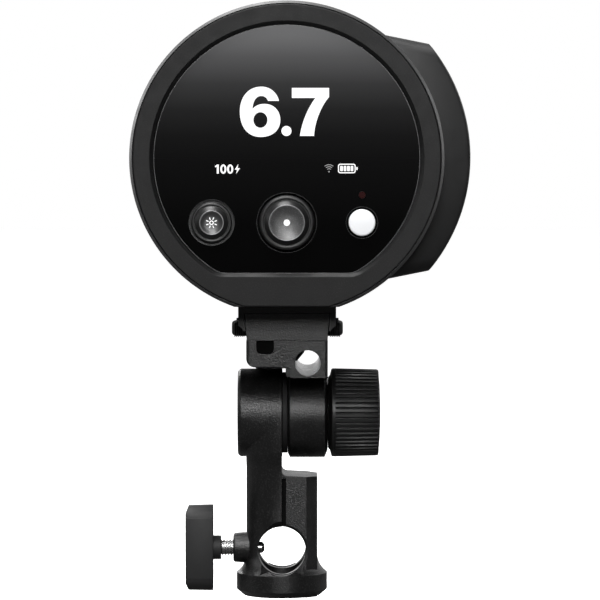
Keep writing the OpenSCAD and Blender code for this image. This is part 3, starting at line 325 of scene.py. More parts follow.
# near-black matt: painted shade for pieces set behind gaps, in recesses, behind the glass and under parts; the
# test key's flange and the pad shoe are in it as well
shade_black = finish("shade_black", grey(0.002), 0.8, grain=0.3, bump=0.2, mottle=0.1, wear=0.0, spec=0.1)
dish_satin = finish("dish_satin", grey(0.025), 0.36, grain=0.1, bump=0.1, mottle=0.08, wear=0.0, spec=0.9,
                    drift=0.0,
                    extra=spun_rings(light_key, 1, 0.16, 0.3))
dish_bright = finish("dish_bright", grey(0.035), 0.36, grain=0.3, bump=0.6, speck_and_glint=0.6, mottle=0.1, wear=0.0,
                     spec=1.0, drift=0.0, speck_glint_lift=0.08, extra=spun_rings(dial, 1, 0.2, 0.4))
release_black = finish("release_black", grey(0.010), 0.45, grain=0.25, bump=0.3, mottle=0.12, wear=0.2)
trim_grey = finish("trim_grey", grey(0.02), 0.50, grain=0.25, bump=0.1, mottle=0.05, wear=0.0, spec=0.6,
                   round_mm=0.1)
# lighter grey for the rims of the holes in the glass: a painted edge highlight
hole_edge_highlight = finish("hole_edge_highlight", grey(0.03), 0.35, grain=0.1, bump=0.03, mottle=0.05, wear=0.0,
                   round_mm=0.04, spec=0.3)
rim_satin = finish("rim_satin", grey(0.22), 0.35, grain=0.1, bump=0.1, mottle=0.08, wear=0.0, metal=0.5)
bore_bright = finish("bore_bright", (0.80, 0.80, 0.81), 0.30, grain=0.3, bump=0.2, mottle=0.08, wear=0.1,
                     metal=0.6)
lamp_red = finish("lamp_red", (0.020, 0.003, 0.003), 0.3, grain=0.2, bump=0.02, mottle=0.1, wear=0.0,
                  round_mm=0.05, spec=0.05)


def clear_glass(name, rough, bump, grain, tint=(0.96, 0.98, 1.0), weight=1.0):
    mat = finish(name, tint, rough, grain=grain, bump=bump, mottle=0.01, wear=0.0, round_mm=0.1)
    bsdf = mat.node_tree.nodes["Principled BSDF"]
    bsdf.inputs["Transmission Weight"].default_value = weight
    bsdf.inputs["IOR"].default_value = 1.47
    return mat


tube_glass = clear_glass("tube_glass", 0.06, 0.05, 1.0)
frosted = clear_glass("frosted", 0.38, 0.35, 0.7, (0.9, 0.91, 0.92), 0.75)

looks = {
    "stand_arm": cast_black, "tilt_bolt": zinc, "bolt_cap": plastic_black,
    "friction_disc": friction_fibre, "thrust_washer": zinc, "knob_grip": knob_black,
    "knob_insert": brass, "knob_cap": knob_black, "clamp_tip": bright_steel,
    "clamp_screw": bright_steel, "clamp_handle": tee_grey, "tilt_bracket": cast_black,
    "pivot_bush": bronze, "carriage": cast_black, "carriage_screws": zinc,
    "umbrella_pad": rubber_black, "release_left": plastic_black, "release_right": plastic_black,
    "rear_housing": shell_grey, "panel_ring": ring_grey, "panel_glass": panel_painted_reflection,
    "display_module": plastic_black, "control_board": solder_resist, "board_screws": zinc,
    "ring_screws": zinc, "encoder_body": mill_aluminium, "encoder_plunger": zinc,
    "dial_shaft": bright_steel, "dial_knob": dial_black, "light_button": key_black,
    "test_button": white_key, "tact_switches": plastic_black, "ready_lamp": lamp_red,
    "dock_rail": plastic_black, "dock_screws": zinc, "chassis": mill_aluminium,
    "chassis_screws": zinc, "main_board": solder_resist, "power_board": solder_resist,
    "flash_capacitors": can_sleeve, "trigger_coil": winding, "battery_connector": plastic_black,
    "port_sockets": zinc, "port_cover": rubber_black, "fan_frame": plastic_black,
    "fan_rotor": plastic_black, "led_heatsink": mill_aluminium, "led_module": phosphor,
    "lamp_bulkhead": lamp_white, "flash_tube": tube_glass, "reflector": reflector_bright,
    "front_barrel": barrel_black, "front_glass": frosted, "front_ring": barrel_black,
    "battery_tray": battery_black, "battery_cover": battery_black, "battery_cells": cell_wrap,
    "battery_terminals": brass, "battery_latch": plastic_black, "gauge_button": rubber_black,
}


# ---------------------------------------------------------------- mesh helpers


def smooth_group():
    """Smooth shading that stays sharp where faces meet at a steep angle."""
    group = bpy.data.node_groups.new("smooth_by_angle", "GeometryNodeTree")
    group.interface.new_socket("Geometry", in_out="INPUT", socket_type="NodeSocketGeometry")
    group.interface.new_socket("Geometry", in_out="OUTPUT", socket_type="NodeSocketGeometry")
    t = Tree(group)
    start, end = t.node("NodeGroupInput"), t.node("NodeGroupOutput")
    angle = t.node("GeometryNodeInputMeshEdgeAngle")
    limit = t.node("FunctionNodeCompare", data_type="FLOAT", operation="LESS_EQUAL")
    t.link(angle.outputs[0], limit.inputs[0])
    limit.inputs[1].default_value = math.radians(28)
    faces = t.node("GeometryNodeSetShadeSmooth", domain="FACE")
    edges = t.node("GeometryNodeSetShadeSmooth", domain="EDGE")
    t.link(start.outputs[0], faces.inputs["Geometry"])
    t.link(faces.outputs[0], edges.inputs["Geometry"])
    t.link(limit.outputs[0], edges.inputs["Shade Smooth"])
    t.link(edges.outputs[0], end.inputs[0])
    return group


SMOOTH = smooth_group()


def soften(obj, weld=0.0, bevel=0.0):
    """Joins the faces of a mesh and shades it smooth, keeping its real edges."""
    if weld:
        join = obj.modifiers.new("join", "WELD")
        join.merge_threshold = weld
    if bevel:
        edge = obj.modifiers.new("edge", "BEVEL")
        edge.width = bevel * MM
        edge.segments = 3
        edge.limit_method = "ANGLE"
        edge.angle_limit = math.radians(32)
    obj.modifiers.new("shade", "NODES").node_group = SMOOTH
    return obj


def add_mesh(name, verts, faces, mat, body, node=None, slot=None, replaces=()):
    mesh = bpy.data.meshes.new(name)
    mesh.from_pydata([tuple(v) for v in verts], [], faces)
    mesh.validate()
    obj = bpy.data.objects.new(name, mesh)
    scene.collection.objects.link(obj)
    mesh.materials.append(mat)
    bm = bmesh.new()
    bm.from_mesh(mesh)
    bmesh.ops.recalc_face_normals(bm, faces=bm.faces)
    bm.to_mesh(mesh)
    bm.free()
    soften(obj)
    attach(obj, body)
    if replaces:
        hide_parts(*replaces)
    return obj


def on_axis(axis, centre, station, radius, angle):
    """A point at a station along an axis, and a radius and angle round it."""
    c, s = math.cos(angle), math.sin(angle)
    if axis == "x":
        return Vector((station, centre.y + radius * c, centre.z + radius * s))
    if axis == "y":
        return Vector((centre.x + radius * c, station, centre.z + radius * s))
    return Vector((centre.x + radius * c, centre.y + radius * s, station))


def arc(cx, cy, r, a0, a1, steps):
    """Points of an arc in (station, radius) or flat coordinates, angles in degrees."""
    return [(cx + r * math.cos(math.radians(a0 + (a1 - a0) * i / steps)),
             cy + r * math.sin(math.radians(a0 + (a1 - a0) * i / steps))) for i in range(steps + 1)]


def lathe(name, axis, centre, profile, mat, body, seg=160, warp=None, **more):
    """A closed turned form: profile is (station, radius) in metres, drawn right round."""
    verts, faces = [], []
    rings = []
    for index, (station, radius) in enumerate(profile):
        if radius < 1e-7:
            rings.append([len(verts)])
            verts.append(on_axis(axis, centre, station, 0, 0))
            continue
        ring = []
        for k in range(seg):
            angle = TAU * k / seg
            s, r = (station, radius) if warp is None else warp(station, radius, angle)
            ring.append(len(verts))
            verts.append(on_axis(axis, centre, s, r, angle))
        rings.append(ring)
    pairs = list(zip(rings, rings[1:]))
    if len(rings[0]) > 1:
        pairs.append((rings[-1], rings[0]))
    for a, b in pairs:
        if len(a) == 1 and len(b) == 1:
            continue
        for k in range(seg):
            n = (k + 1) % seg
            if len(a) == 1:
                faces.append((a[0], b[k], b[n]))
            elif len(b) == 1:
                faces.append((a[k], b[0], a[n]))
            else:
                faces.append((a[k], b[k], b[n], a[n]))
    return add_mesh(name, verts, faces, mat, body, **more)


def plate(name, loops, y_front, thick, mat, body, **more):
    """Flat shapes in X and Z, given as outlines in metres with holes, with a little thickness."""
    curve = bpy.data.curves.new(name, "CURVE")
    curve.dimensions = "2D"
    curve.fill_mode = "BOTH"
    curve.extrude = thick / 2
    for loop in loops:
        spline = curve.splines.new("POLY")
        spline.points.add(len(loop) - 1)
        for point, (x, z) in zip(spline.points, loop):
            point.co = (x, z, 0, 1)
        spline.use_cyclic_u = True
    temp = bpy.data.objects.new(name + "_curve", curve)
    scene.collection.objects.link(temp)
    bpy.context.view_layer.update()
    mesh = bpy.data.meshes.new_from_object(temp.evaluated_get(bpy.context.evaluated_depsgraph_get()))
    bpy.data.objects.remove(temp)
    verts = [(v.co.x, y_front + thick / 2 - v.co.z, v.co.y) for v in mesh.vertices]
    faces = [tuple(p.vertices) for p in mesh.polygons]
    return add_mesh(name, verts, faces, mat, body, **more)


# ---------------------------------------------------------------- materials on the CAD nodes

bevels = {"clamp_handle": 0.55}
for node, mat in looks.items():
    part = nodes[node]
    part.data.materials.clear()
    part.data.materials.append(mat)
    soften(part, weld=0.002 * MM, bevel=bevels.get(node, 0.0))


# ---------------------------------------------------------------- readout and panel marks

lit = glow("lit_white", 1.15)
dim = glow("lit_dim", 0.28)
mark_white = finish("mark_white", (0.82, 0.82, 0.82), 0.4, grain=0.2, bump=0.1, mottle=0.03, wear=0.0,
                    extra=self_lit(0.3))
SKIN = 0.012 * MM


def bezier(points, steps=14):
    """A closed outline through cubic segments: each entry is a point, or (control, control, point)."""
    out = [points[0]]
    for entry in points[1:]:
        if isinstance(entry[0], tuple):
            (ax, ay), (bx, by), (cx, cy) = entry
            px, py = out[-1]
            for i in range(1, steps + 1):
                t = i / steps
                u = 1 - t
                out.append((u**3 * px + 3 * u * u * t * ax + 3 * u * t * t * bx + t**3 * cx,
                            u**3 * py + 3 * u * u * t * ay + 3 * u * t * t * by + t**3 * cy))
        else:
            out.append(entry)
    return out


def ellipse(cx, cy, rx, ry, steps=48):
    return [(cx + rx * math.cos(TAU * i / steps), cy + ry * math.sin(TAU * i / steps))
            for i in range(steps)]


def round_box(x0, x1, z0, z1, r, steps=5):
    return (arc(x1 - r, z1 - r, r, 0, 90, steps) + arc(x0 + r, z1 - r, r, 90, 180, steps)
            + arc(x0 + r, z0 + r, r, 180, 270, steps) + arc(x1 - r, z0 + r, r, 270, 360, steps))


# bold digits, one unit high
SIX = [
    bezier([
        (0.781, 0.717), ((0.735, 0.892), (0.60, 1.0), (0.428, 1.0)),
        ((0.165, 1.0), (0.0, 0.79), (0.0, 0.505)), ((0.0, 0.20), (0.155, 0.0), (0.414, 0.0)),
        ((0.65, 0.0), (0.805, 0.135), (0.805, 0.336)), ((0.805, 0.527), (0.672, 0.658), (0.494, 0.658)),
        ((0.395, 0.658), (0.312, 0.628), (0.252, 0.556)), ((0.262, 0.72), (0.325, 0.8145), (0.428, 0.8145)),
        ((0.492, 0.8145), (0.537, 0.78), (0.561, 0.717)),
    ]),
    ellipse(0.410, 0.3375, 0.1395, 0.155),
]
SEVEN = [bezier([
    (0.0, 0.975), (0.740, 0.975), (0.740, 0.794), ((0.565, 0.60), (0.445, 0.25), (0.442, 0.021)),
    (0.160, 0.021), ((0.195, 0.29), (0.32, 0.58), (0.467, 0.775)), (0.0, 0.775),
])]
DOT = [ellipse(0.0, 0.1, 0.0997, 0.0997)]
ONE = [[(0.24, 0.0), (0.46, 0.0), (0.46, 1.0), (0.28, 1.0), (0.05, 0.86), (0.05, 0.68), (0.24, 0.78)]]
ZERO = [ellipse(0.34, 0.5, 0.34, 0.515), ellipse(0.34, 0.5, 0.135, 0.33)]
BOLT = [[(0.42, 1.05), (0.02, 0.44), (0.28, 0.44), (0.16, -0.05), (0.60, 0.60), (0.33, 0.60)]]


def place_loops(loops, x, z, size):
    return [[(head.x + (x + size * px) * MM, head.z + (z + size * pz) * MM) for px, pz in loop]
            for loop in loops]


tall = 16.36
left, foot = -15.28, 6.97
plate("readout_six", place_loops(SIX, left, foot, tall), glass_front - SKIN, SKIN, lit, "head")
plate("readout_point", place_loops(DOT, left + 0.927 * tall, foot + 0.02 * tall, tall),
      glass_front - SKIN, SKIN, lit, "head")
plate("readout_seven", place_loops(SEVEN, left + 1.035 * tall, foot, tall), glass_front - SKIN, SKIN,
      lit, "head")
small = 2.95
base_z = -4.94
for count, (shape, offset) in enumerate(((ONE, 0.0), (ZERO, 0.62), (ZERO, 1.38), (BOLT, 2.2))):
    plate(f"readout_small_{count}", place_loops(shape, -23.5 + offset * small, base_z, small),
          glass_front - SKIN, SKIN, lit, "head")

# battery gauge: a rounded outline, a contact nub and four cells
gx, gz = 16.67, -3.28
plate("gauge_outline", [
    [(head.x + x * MM, head.z + z * MM) for x, z in round_box(gx, gx + 5.75, gz - 1.55, gz + 1.55, 0.75)],
    [(head.x + x * MM, head.z + z * MM)
     for x, z in round_box(gx + 0.34, gx + 5.41, gz - 1.21, gz + 1.21, 0.45)],
], glass_front - SKIN, SKIN, lit, "head")
for count in range(4):
    x0 = gx + 0.72 + count * 1.13
    plate(f"gauge_bar_{count}", [[(head.x + x * MM, head.z + z * MM) for x, z in
                                  round_box(x0, x0 + 0.86, gz - 0.86, gz + 0.86, 0.2, 2)]],
          glass_front - SKIN, SKIN, lit, "head")
plate("gauge_nub", [[(head.x + x * MM, head.z + z * MM) for x, z in
                     round_box(gx + 5.95, gx + 6.4, gz - 0.5, gz + 0.5, 0.2, 2)]],
      glass_front - SKIN, SKIN, lit, "head")

# radio state: a dot under three arcs
wx, wz = 13.74, -4.3
wave_loops = [ellipse(wx, wz, 0.26, 0.26, 20)]
for r in (0.95, 1.6, 2.25):
    wave_loops.append(arc(wx, wz, r + 0.13, 52, 128, 10) + arc(wx, wz, r - 0.13, 128, 52, 10))
plate("radio_mark", [[(head.x + x * MM, head.z + z * MM) for x, z in loop] for loop in wave_loops],
      glass_front - SKIN, SKIN, dim, "head")

# ---------------------------------------------------------------- fine panel ring, glass and collar

RING_R, RING_FLAT = 50.3, 48.4
WINDOW = (44.7, 38.5, 8.5)
RECESS = (43.55, 37.35, 7.35)
GLASS = (43.4, 37.5, 7.5)
COLLAR_R = 51.32
front_mm = ring_lo.y / MM
glass_mm = glass_front / MM
back_mm = glass_hi.y / MM


def reach(angle, r, flat, fillet=0.0):
    """Distance from the head axis to a round outline with a flat lower edge, at an angle."""
    s, c = math.sin(angle), abs(math.cos(angle))
    if s >= 0:
        return r
    if fillet:
        cx = math.sqrt((r - fillet) ** 2 - (flat - fillet) ** 2)
        cz = fillet - flat
        if math.atan2(-flat, cx) < math.atan2(s, c) < math.atan2(cz, cx):
            along = c * cx + s * cz
            return along + math.sqrt(along ** 2 - cx ** 2 - cz ** 2 + fillet ** 2)
    return min(r, flat / -s)


def outline(shape, seg=720):
    """The outline as points in X and Z, metres."""
    points = []
    for k in range(seg):
        angle = TAU * k / seg
        d = reach(angle, *shape) * MM
        points.append((head.x + d * math.cos(angle), head.z + d * math.sin(angle)))
    return points


def sweep(name, loops, mat, **more):
    """A closed ring round the head axis: each loop is a station and an outline, millimetres."""
    seg = 960
    verts, faces = [], []
    for y, shape in loops:
        verts += [(x, y * MM, z) for x, z in outline(shape, seg)]
    for i in range(len(loops)):
        j = (i + 1) % len(loops)
        for k in range(seg):
            n = (k + 1) % seg
            faces.append((i * seg + k, j * seg + k, j * seg + n, i * seg + n))
    return add_mesh(name, verts, faces, mat, "head", **more)


def inset(shape, by):
    return (shape[0] - by, shape[1] - by, max(shape[2] - by, 0.0) if len(shape) > 2 else 0.0)


rim = (RING_R, RING_FLAT, 0.0)
sweep("panel_ring_fine", [
    (back_mm + 0.3, rim), (front_mm + 0.5, rim), (front_mm + 0.2, inset(rim, 0.08)),
    (front_mm + 0.05, inset(rim, 0.25)), (front_mm, inset(rim, 0.5)), (front_mm, inset(rim, 0.56)),
    (front_mm, inset(WINDOW, -0.12)), (front_mm, inset(WINDOW, -0.08)),
    (front_mm + 0.06, inset(WINDOW, 0.02)), (front_mm + 0.1, inset(WINDOW, 0.06)),
    (front_mm + 1.15, RECESS), (front_mm + 1.2, RECESS), (back_mm + 0.3, RECESS),
], ring_grey, replaces=("panel_ring",))
sweep("collar_trim", [
    (front_mm + 3, (RING_R + 0.1, RING_FLAT, 0)), (front_mm + 0.25, (RING_R + 0.1, RING_FLAT, 0)),
    (front_mm + 0.13, (RING_R + 0.15, RING_FLAT, 0)), (front_mm + 0.12, (RING_R + 0.2, RING_FLAT, 0)),
    (front_mm + 0.16, (RING_R + 0.24, RING_FLAT, 0)), (front_mm + 0.68, (COLLAR_R - 0.1, RING_FLAT, 0)),
    (front_mm + 0.8, (COLLAR_R - 0.02, RING_FLAT + 0.01, 0)),
    (front_mm + 0.95, (COLLAR_R, RING_FLAT + 0.02, 0)), (front_mm + 9.8, (COLLAR_R, RING_FLAT + 0.02, 0)),
    (front_mm + 9.8, (COLLAR_R - 0.6, RING_FLAT - 0.2, 0)), (front_mm + 3, (COLLAR_R - 0.6, RING_FLAT - 0.2, 0)),
], trim_grey)

HOLES = ((dial, 9.7), (light_key, 7.4), (test_key, 5.1))
lamp = middle("ready_lamp")
plate("panel_glass_fine", [outline(GLASS)] + [
    [(at.x + r * MM * math.cos(TAU * k / 120), at.z + r * MM * math.sin(TAU * k / 120))
     for k in range(120)] for at, r in HOLES + ((lamp, 1.15),)
], glass_front, 2 * MM, panel_painted_reflection, "head", replaces=("panel_glass",))
# a thin lighter ring round the glass edge: painted highlight
sweep("glass_rim_highlight", [
    (glass_mm + 0.6, (43.42, 37.52, 7.52)), (glass_mm + 0.05, (43.42, 37.52, 7.52)),
    (glass_mm - 0.01, (43.36, 37.46, 7.46)), (glass_mm - 0.01, (43.2, 37.3, 7.3)),
    (glass_mm + 0.6, (43.2, 37.3, 7.3)),
], glass_edge_highlight)
sweep("glass_shadow", [
    (back_mm - 0.3, (RECESS[0] + 0.3, RECESS[1] + 0.3, RECESS[2])),
    (back_mm - 0.3, (43.0, 37.1, 7.1)), (back_mm + 0.2, (43.0, 37.1, 7.1)),
    (back_mm + 0.2, (RECESS[0] + 0.3, RECESS[1] + 0.3, RECESS[2])),
], shade_black)


def turned(name, centre, profile, mat, body, **more):
    """A form turned about a line along Y; the profile is (radius, station) in millimetres."""
    return lathe(name, "y", centre, [(y * MM, r * MM) for r, y in profile], mat, body, **more)


# a thin lighter ring round each hole in the glass: painted highlight on the hole's edge
for label, (at, r) in zip(("dial", "light", "test"), HOLES):
    turned(f"hole_edge_highlight_{label}", at, [(r - 0.01, glass_mm + 0.5), (r - 0.01, glass_mm + 0.04),
                                      (r + 0.03, glass_mm - 0.012), (r + 0.13, glass_mm - 0.012),
                                      (r + 0.13, glass_mm + 0.5)], hole_edge_highlight, "head")
# a near-black ring behind the gap round the dial: painted shade in the gap
turned("dial_gap_shade", dial, [(8.1, back_mm + 0.75), (8.1, back_mm + 0.6), (9.82, back_mm + 0.6),
                            (9.82, back_mm + 0.75)], shade_black, "head", seg=96)

# modelling-light key: body with a groove, a cone and a dished top
turned("light_button_fine", light_key, [
    (3.62, -60.42), (3.72, -60.5), (3.94, -60.5), (4.06, -60.42), (5.3, -59.62), (5.38, -59.5),
    (5.42, -59.42), (5.60, -59.42), (5.66, -59.54), (5.8, -59.62), (6.05, -59.64), (6.32, -59.58),
    (6.52, -59.42), (6.64, -59.15), (6.68, -58.8), (6.68, -56.95), (8.2, -56.95), (8.2, -56.6),
    (0, -56.6), (0, -59.5), (3.62, -59.5),
], key_black, "modelling_button", replaces=("light_button",))
turned("light_button_dish", light_key, [
    (0, -59.82), (2.05, -59.84), (2.5, -59.92), (2.95, -60.07), (3.35, -60.27), (3.62, -60.44),
    (3.66, -60.44), (3.66, -59.4), (0, -59.4),
], dish_satin, "modelling_button")
turned("light_button_rim", light_key, [
    (3.64, -60.46), (3.72, -60.53), (3.92, -60.53), (4.02, -60.47), (3.9, -60.2), (3.7, -60.2),
], rim_satin, "modelling_button")
SUN_Y = (-59.84 - 0.02) * MM
sun = [[(light_key.x + r * MM * math.cos(TAU * k / 40), light_key.z + r * MM * math.sin(TAU * k / 40))
        for k in range(40)] for r in (0.74, 0.42)]
for k in range(8):
    a = TAU * (k + 0.5) / 8
    along, across = Vector((math.cos(a), math.sin(a))), Vector((-math.sin(a), math.cos(a)))
    sun.append([(light_key.x + (along.x * d + across.x * w) * MM, light_key.z + (along.y * d + across.y * w) * MM)
                for d, w in ((1.02, -0.15), (1.85, -0.19), (1.85, 0.19), (1.02, 0.15))])
plate("sun_mark", sun, SUN_Y, 0.02 * MM, mark_white, "modelling_button")

# dial: skirt, groove, cone and a dished metal top with a white spot
turned("dial_knob_fine", dial, [
    (5.56, -61.5), (5.64, -61.6), (5.82, -61.6), (5.94, -61.5), (7.2, -60.3), (7.28, -60.1),
    (7.34, -59.98), (7.56, -59.98), (7.64, -60.12), (7.8, -60.22), (8.1, -60.26), (8.45, -60.18),
    (8.75, -60.0), (8.92, -59.6), (8.98, -59.1), (8.98, -57.6), (0, -57.6), (0, -60.2), (5.56, -60.2),
], dial_black, "dial", replaces=("dial_knob",))
turned("dial_dish", dial, [
    (0, -60.5), (1.3, -60.51), (2.4, -60.58), (3.4, -60.74), (4.3, -60.98), (5.1, -61.28),
    (5.56, -61.5), (5.6, -61.5), (5.6, -60.1), (0, -60.1),
], dish_bright, "dial")
turned("dial_rim", dial, [
    (5.58, -61.54), (5.66, -61.63), (5.8, -61.63), (5.9, -61.56), (5.8, -61.3), (5.6, -61.3),
], rim_satin, "dial")
turned("dial_spot", dial, [(0, -60.55), (1.0, -60.55), (1.07, -60.5), (1.07, -60.4), (0, -60.4)],
       mark_white, "dial", seg=64)

# test key: white cap over a black flange
turned("test_button_fine", test_key, [
    (0, -59.9), (3.7, -59.9), (4.02, -59.86), (4.22, -59.74), (4.33, -59.52), (4.35, -59.3),
    (4.35, -57.0), (0, -57.0),
], white_key, "flash_test_button", replaces=("test_button",))
turned("test_button_flange", test_key, [
    (0, -56.98), (4.3, -56.98), (5.75, -56.95), (5.75, -56.6), (0, -56.6),
], shade_black, "flash_test_button", seg=96)

# ---------------------------------------------------------------- lock knob, clamp screw, releases

KNOB_RIBS = 54


def rib(station, radius, angle):
    """Cuts the grip's grooves into the knob's outside."""
    if radius < 14 * MM or not 18.4 * MM < station < 33.05 * MM:
        return station, radius
    off = abs((angle * KNOB_RIBS / TAU) % 1 - 0.5) * 2
    return station, radius - 0.46 * MM * max(0.0, 1 - (off / 0.46) ** 2)


knob_line = Vector((0, tilt.y, tilt.z))
lathe("knob_grip_fine", "x", knob_line, [(x * MM, r * MM) for x, r in (
    (15.72, 6.6), (15.72, 12.0), (16.4, 12.8), (16.7, 14.0), (16.85, 14.6), (17.0, 14.9), (17.25, 15.06),
    (18.25, 15.08), (18.5, 15.07), (25, 14.92), (32.3, 14.74), (32.65, 14.62), (32.9, 14.4),
    (33.0, 14.1), (33.0, 12.65), (31.5, 12.65), (31.5, 6.6))],
    knob_black, "tilt_knob", seg=KNOB_RIBS * 12, warp=rib, replaces=("knob_grip",))

THREAD = 1.0


def thread(station, radius, angle):
    """A sharp helical thread."""
    if radius < 2.65 * MM:
        return station, radius
    turn = (station / (THREAD * MM) - angle / TAU) % 1
    return station, radius - 0.55 * MM * (1 - abs(2 * turn - 1))


screw_lo, screw_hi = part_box("clamp_screw")
screw_line = Vector((0, clamp.y, clamp.z))
steps = [(screw_lo.x + 0.4 * MM + i * 0.1 * MM, 2.78 * MM)
         for i in range(int((screw_hi.x - screw_lo.x) / (0.1 * MM)) - 9)]
lathe("clamp_screw_fine", "x", screw_line,
      [(screw_lo.x, 0), (screw_lo.x, 2.3 * MM)] + steps + [(screw_hi.x, 2.2 * MM), (screw_hi.x, 0)],
      bright_steel, "clamp_tee", seg=48, warp=thread, replaces=("clamp_screw",))


def release_grip(name, node, body, side):
    """The thumb face of a release key: curved in plan, rounded, with upright serrations."""
    lo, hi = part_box(node)
    plan = 18.66
    set_back = 0.3
    centre_x = (lo.x if side < 0 else hi.x) / MM - side * (18.6 + set_back)
    # step in from the thumb face, height, and the least distance from the dock's middle, which
    # keeps a pressed key off the rail and the carriage
    section = [(-1.0, 0.0, 0), (-0.45, 0.1, 0), (-0.12, 0.42, 0), (0, 0.95, 0), (0, 3.85, 0),
               (-0.12, 4.38, 0), (-0.45, 4.72, 17.1), (-0.9, 4.82, 17.25), (-1.3, 4.78, 17.2),
               (-1.5, 4.5, 16.95), (-1.6, 3.9, 16.35), (-3.6, 2.3, 14.75), (-5.0, 2.3, 13.3),
               (-5.0, 0.55, 13.3), (-2.6, 0.55, 13.3), (-2.2, 0.0, 14.6)]
    count = 200
    verts, faces = [], []
    for k in range(count + 1):
        a = math.radians(-24 + 48 * k / count)
        groove = 0.3 * (1 + math.cos(TAU * a * plan / 0.95)) / 2
        for off, up, least in section:
            cut = groove if off > -0.3 else 0.0
            r = plan + off - cut
            reach = max(set_back + r * math.cos(a), least)
            verts.append(((centre_x + side * reach) * MM, r * math.sin(a) * MM,
                          lo.z + (up - 0.45) * MM))
    n = len(section)
    for k in range(count):
        for i in range(n):
            j = (i + 1) % n
            faces.append((k * n + i, k * n + j, (k + 1) * n + j, (k + 1) * n + i))
    faces.append(tuple(range(n)))
    faces.append(tuple(count * n + i for i in reversed(range(n))))
    add_mesh(name, verts, faces, release_black, body, replaces=(node,))


release_grip("release_grip_left", "release_left", "left_release", -1)
release_grip("release_grip_right", "release_right", "right_release", 1)


def bore_lining():
    """A bright reamed lining in the umbrella bore, open where the pad enters."""
    cx, cz, r = 8.8, 81.05, 4.31
    length, wall = 28.62, 0.06
    verts, faces = [], []
    count = 140
    for k in range(count + 1):
        a = math.radians(182 + 276 * k / count)
        for d, y in ((r, -length), (r - wall, -length), (r - wall, length), (r, length)):
            verts.append(((cx + d * math.cos(a)) * MM, y * MM, (cz + d * math.sin(a)) * MM))
    for k in range(count):
        for i in range(4):
            j = (i + 1) % 4
            faces.append((4 * k + i, 4 * k + j, 4 * k + 4 + j, 4 * k + 4 + i))
    faces += [(0, 1, 2, 3), (4 * count + 3, 4 * count + 2, 4 * count + 1, 4 * count)]
    add_mesh("bore_lining", verts, faces, bore_bright, "bracket")


bore_lining()


def block(name, lo, hi, mat, body, edge=0.15):
    """A small block with chamfered edges, corners given in millimetres."""
    levels = ((lo[2], edge), (lo[2] + edge, 0), (hi[2] - edge, 0), (hi[2], edge))
    verts, faces = [], []
    for z, pull in levels:
        x0, x1, y0, y1 = lo[0] + pull, hi[0] - pull, lo[1] + pull, hi[1] - pull
        for x, y in ((x0 + edge, y0), (x1 - edge, y0), (x1, y0 + edge), (x1, y1 - edge),
                     (x1 - edge, y1), (x0 + edge, y1), (x0, y1 - edge), (x0, y0 + edge)):
            verts.append((x * MM, y * MM, z * MM))
    for level in range(3):
        for k in range(8):
            n = (k + 1) % 8
            faces.append((level * 8 + k, level * 8 + n, level * 8 + 8 + n, level * 8 + 8 + k))
    faces += [tuple(range(8)), tuple(24 + k for k in reversed(range(8)))]
    return add_mesh(name, verts, faces, mat, body)


# painted shade: a near-black block in the pocket under the bracket
block("pocket_shade", (-8.35, -27.0, 82.55), (-2.55, -14.2, 88.4), shade_black, "bracket")
for side in (-1, 1):
    lug = [(-12.5, 89.3), (-17.65, 89.3), (-17.65, 93.95), (-16.5, 93.95), (-14.5, 91.6), (-12.5, 91.6)]
    for count, top in enumerate((93.6, 93.85, 93.85, 93.2, 92.5, 91.9)):
        rib_x = 1.9 + side * (17.7 - 0.62 * count)
        block(f"lug_rib_{side + 1}_{count}", (rib_x - 0.17, -15.15, 89.0), (rib_x + 0.17, -14.7, top),
              release_black, "bracket", edge=0.1)
    # a near-black sheet behind the ribs: painted shade between them
    plate(f"lug_face_{'right' if side > 0 else 'left'}",
          [[((1.9 - side * x) * MM, z * MM) for x, z in lug]], -14.84 * MM, 0.06 * MM, shade_black, "bracket")
# painted shade: a near-black strip in the column's groove
block("groove_shade", (0.02, -10.1, 24.6), (1.43, -9.4, 40.4), shade_black, "stand_adapter", edge=0.05)
block("neck_root", (1.4, -27.4, 76.4), (3.2, 27.4, 79.7), cast_black, "bracket")
# painted shadow: a near-black strip under the bracket's arm
block("arm_shadow", (-8.6, -27.4, 79.15), (3.2, 27.4, 79.75), shade_black, "bracket")

# pad shoe along the bore: a black block under the pad's rod
shoe_dir = math.radians(140)
shoe = []
for along, across in ((3.05, -1.9), (3.3, -2.25), (4.6, -2.25), (4.6, 2.25), (3.3, 2.25), (3.05, 1.9)):
    shoe.append((8.8 + along * math.cos(shoe_dir) - across * math.sin(shoe_dir),
                 81.05 + along * math.sin(shoe_dir) + across * math.cos(shoe_dir)))
plate("pad_shoe", [[(x * MM, z * MM) for x, z in shoe]], -24 * MM, 48 * MM, shade_black, "pad")

# ---------------------------------------------------------------- camera, floor, light

CAMERA_AWAY = 1.32
LENS_MM = 232.32
camera_data = bpy.data.cameras.new("camera")
camera = bpy.data.objects.new("camera", camera_data)
scene.collection.objects.link(camera)
scene.camera = camera
camera_data.sensor_width = 36.0
camera_data.lens = LENS_MM
eye = Vector((6.2 * MM, -CAMERA_AWAY, 166 * MM))
aim = Vector((eye.x, 0.0, 100.75 * MM))
camera.location = eye
camera.rotation_mode = "QUATERNION"
camera.rotation_quaternion = (aim - eye).to_track_quat("-Z", "Y")
camera_data.clip_start = 0.05
camera_data.clip_end = 60.0

FLOOR_Z = -0.062


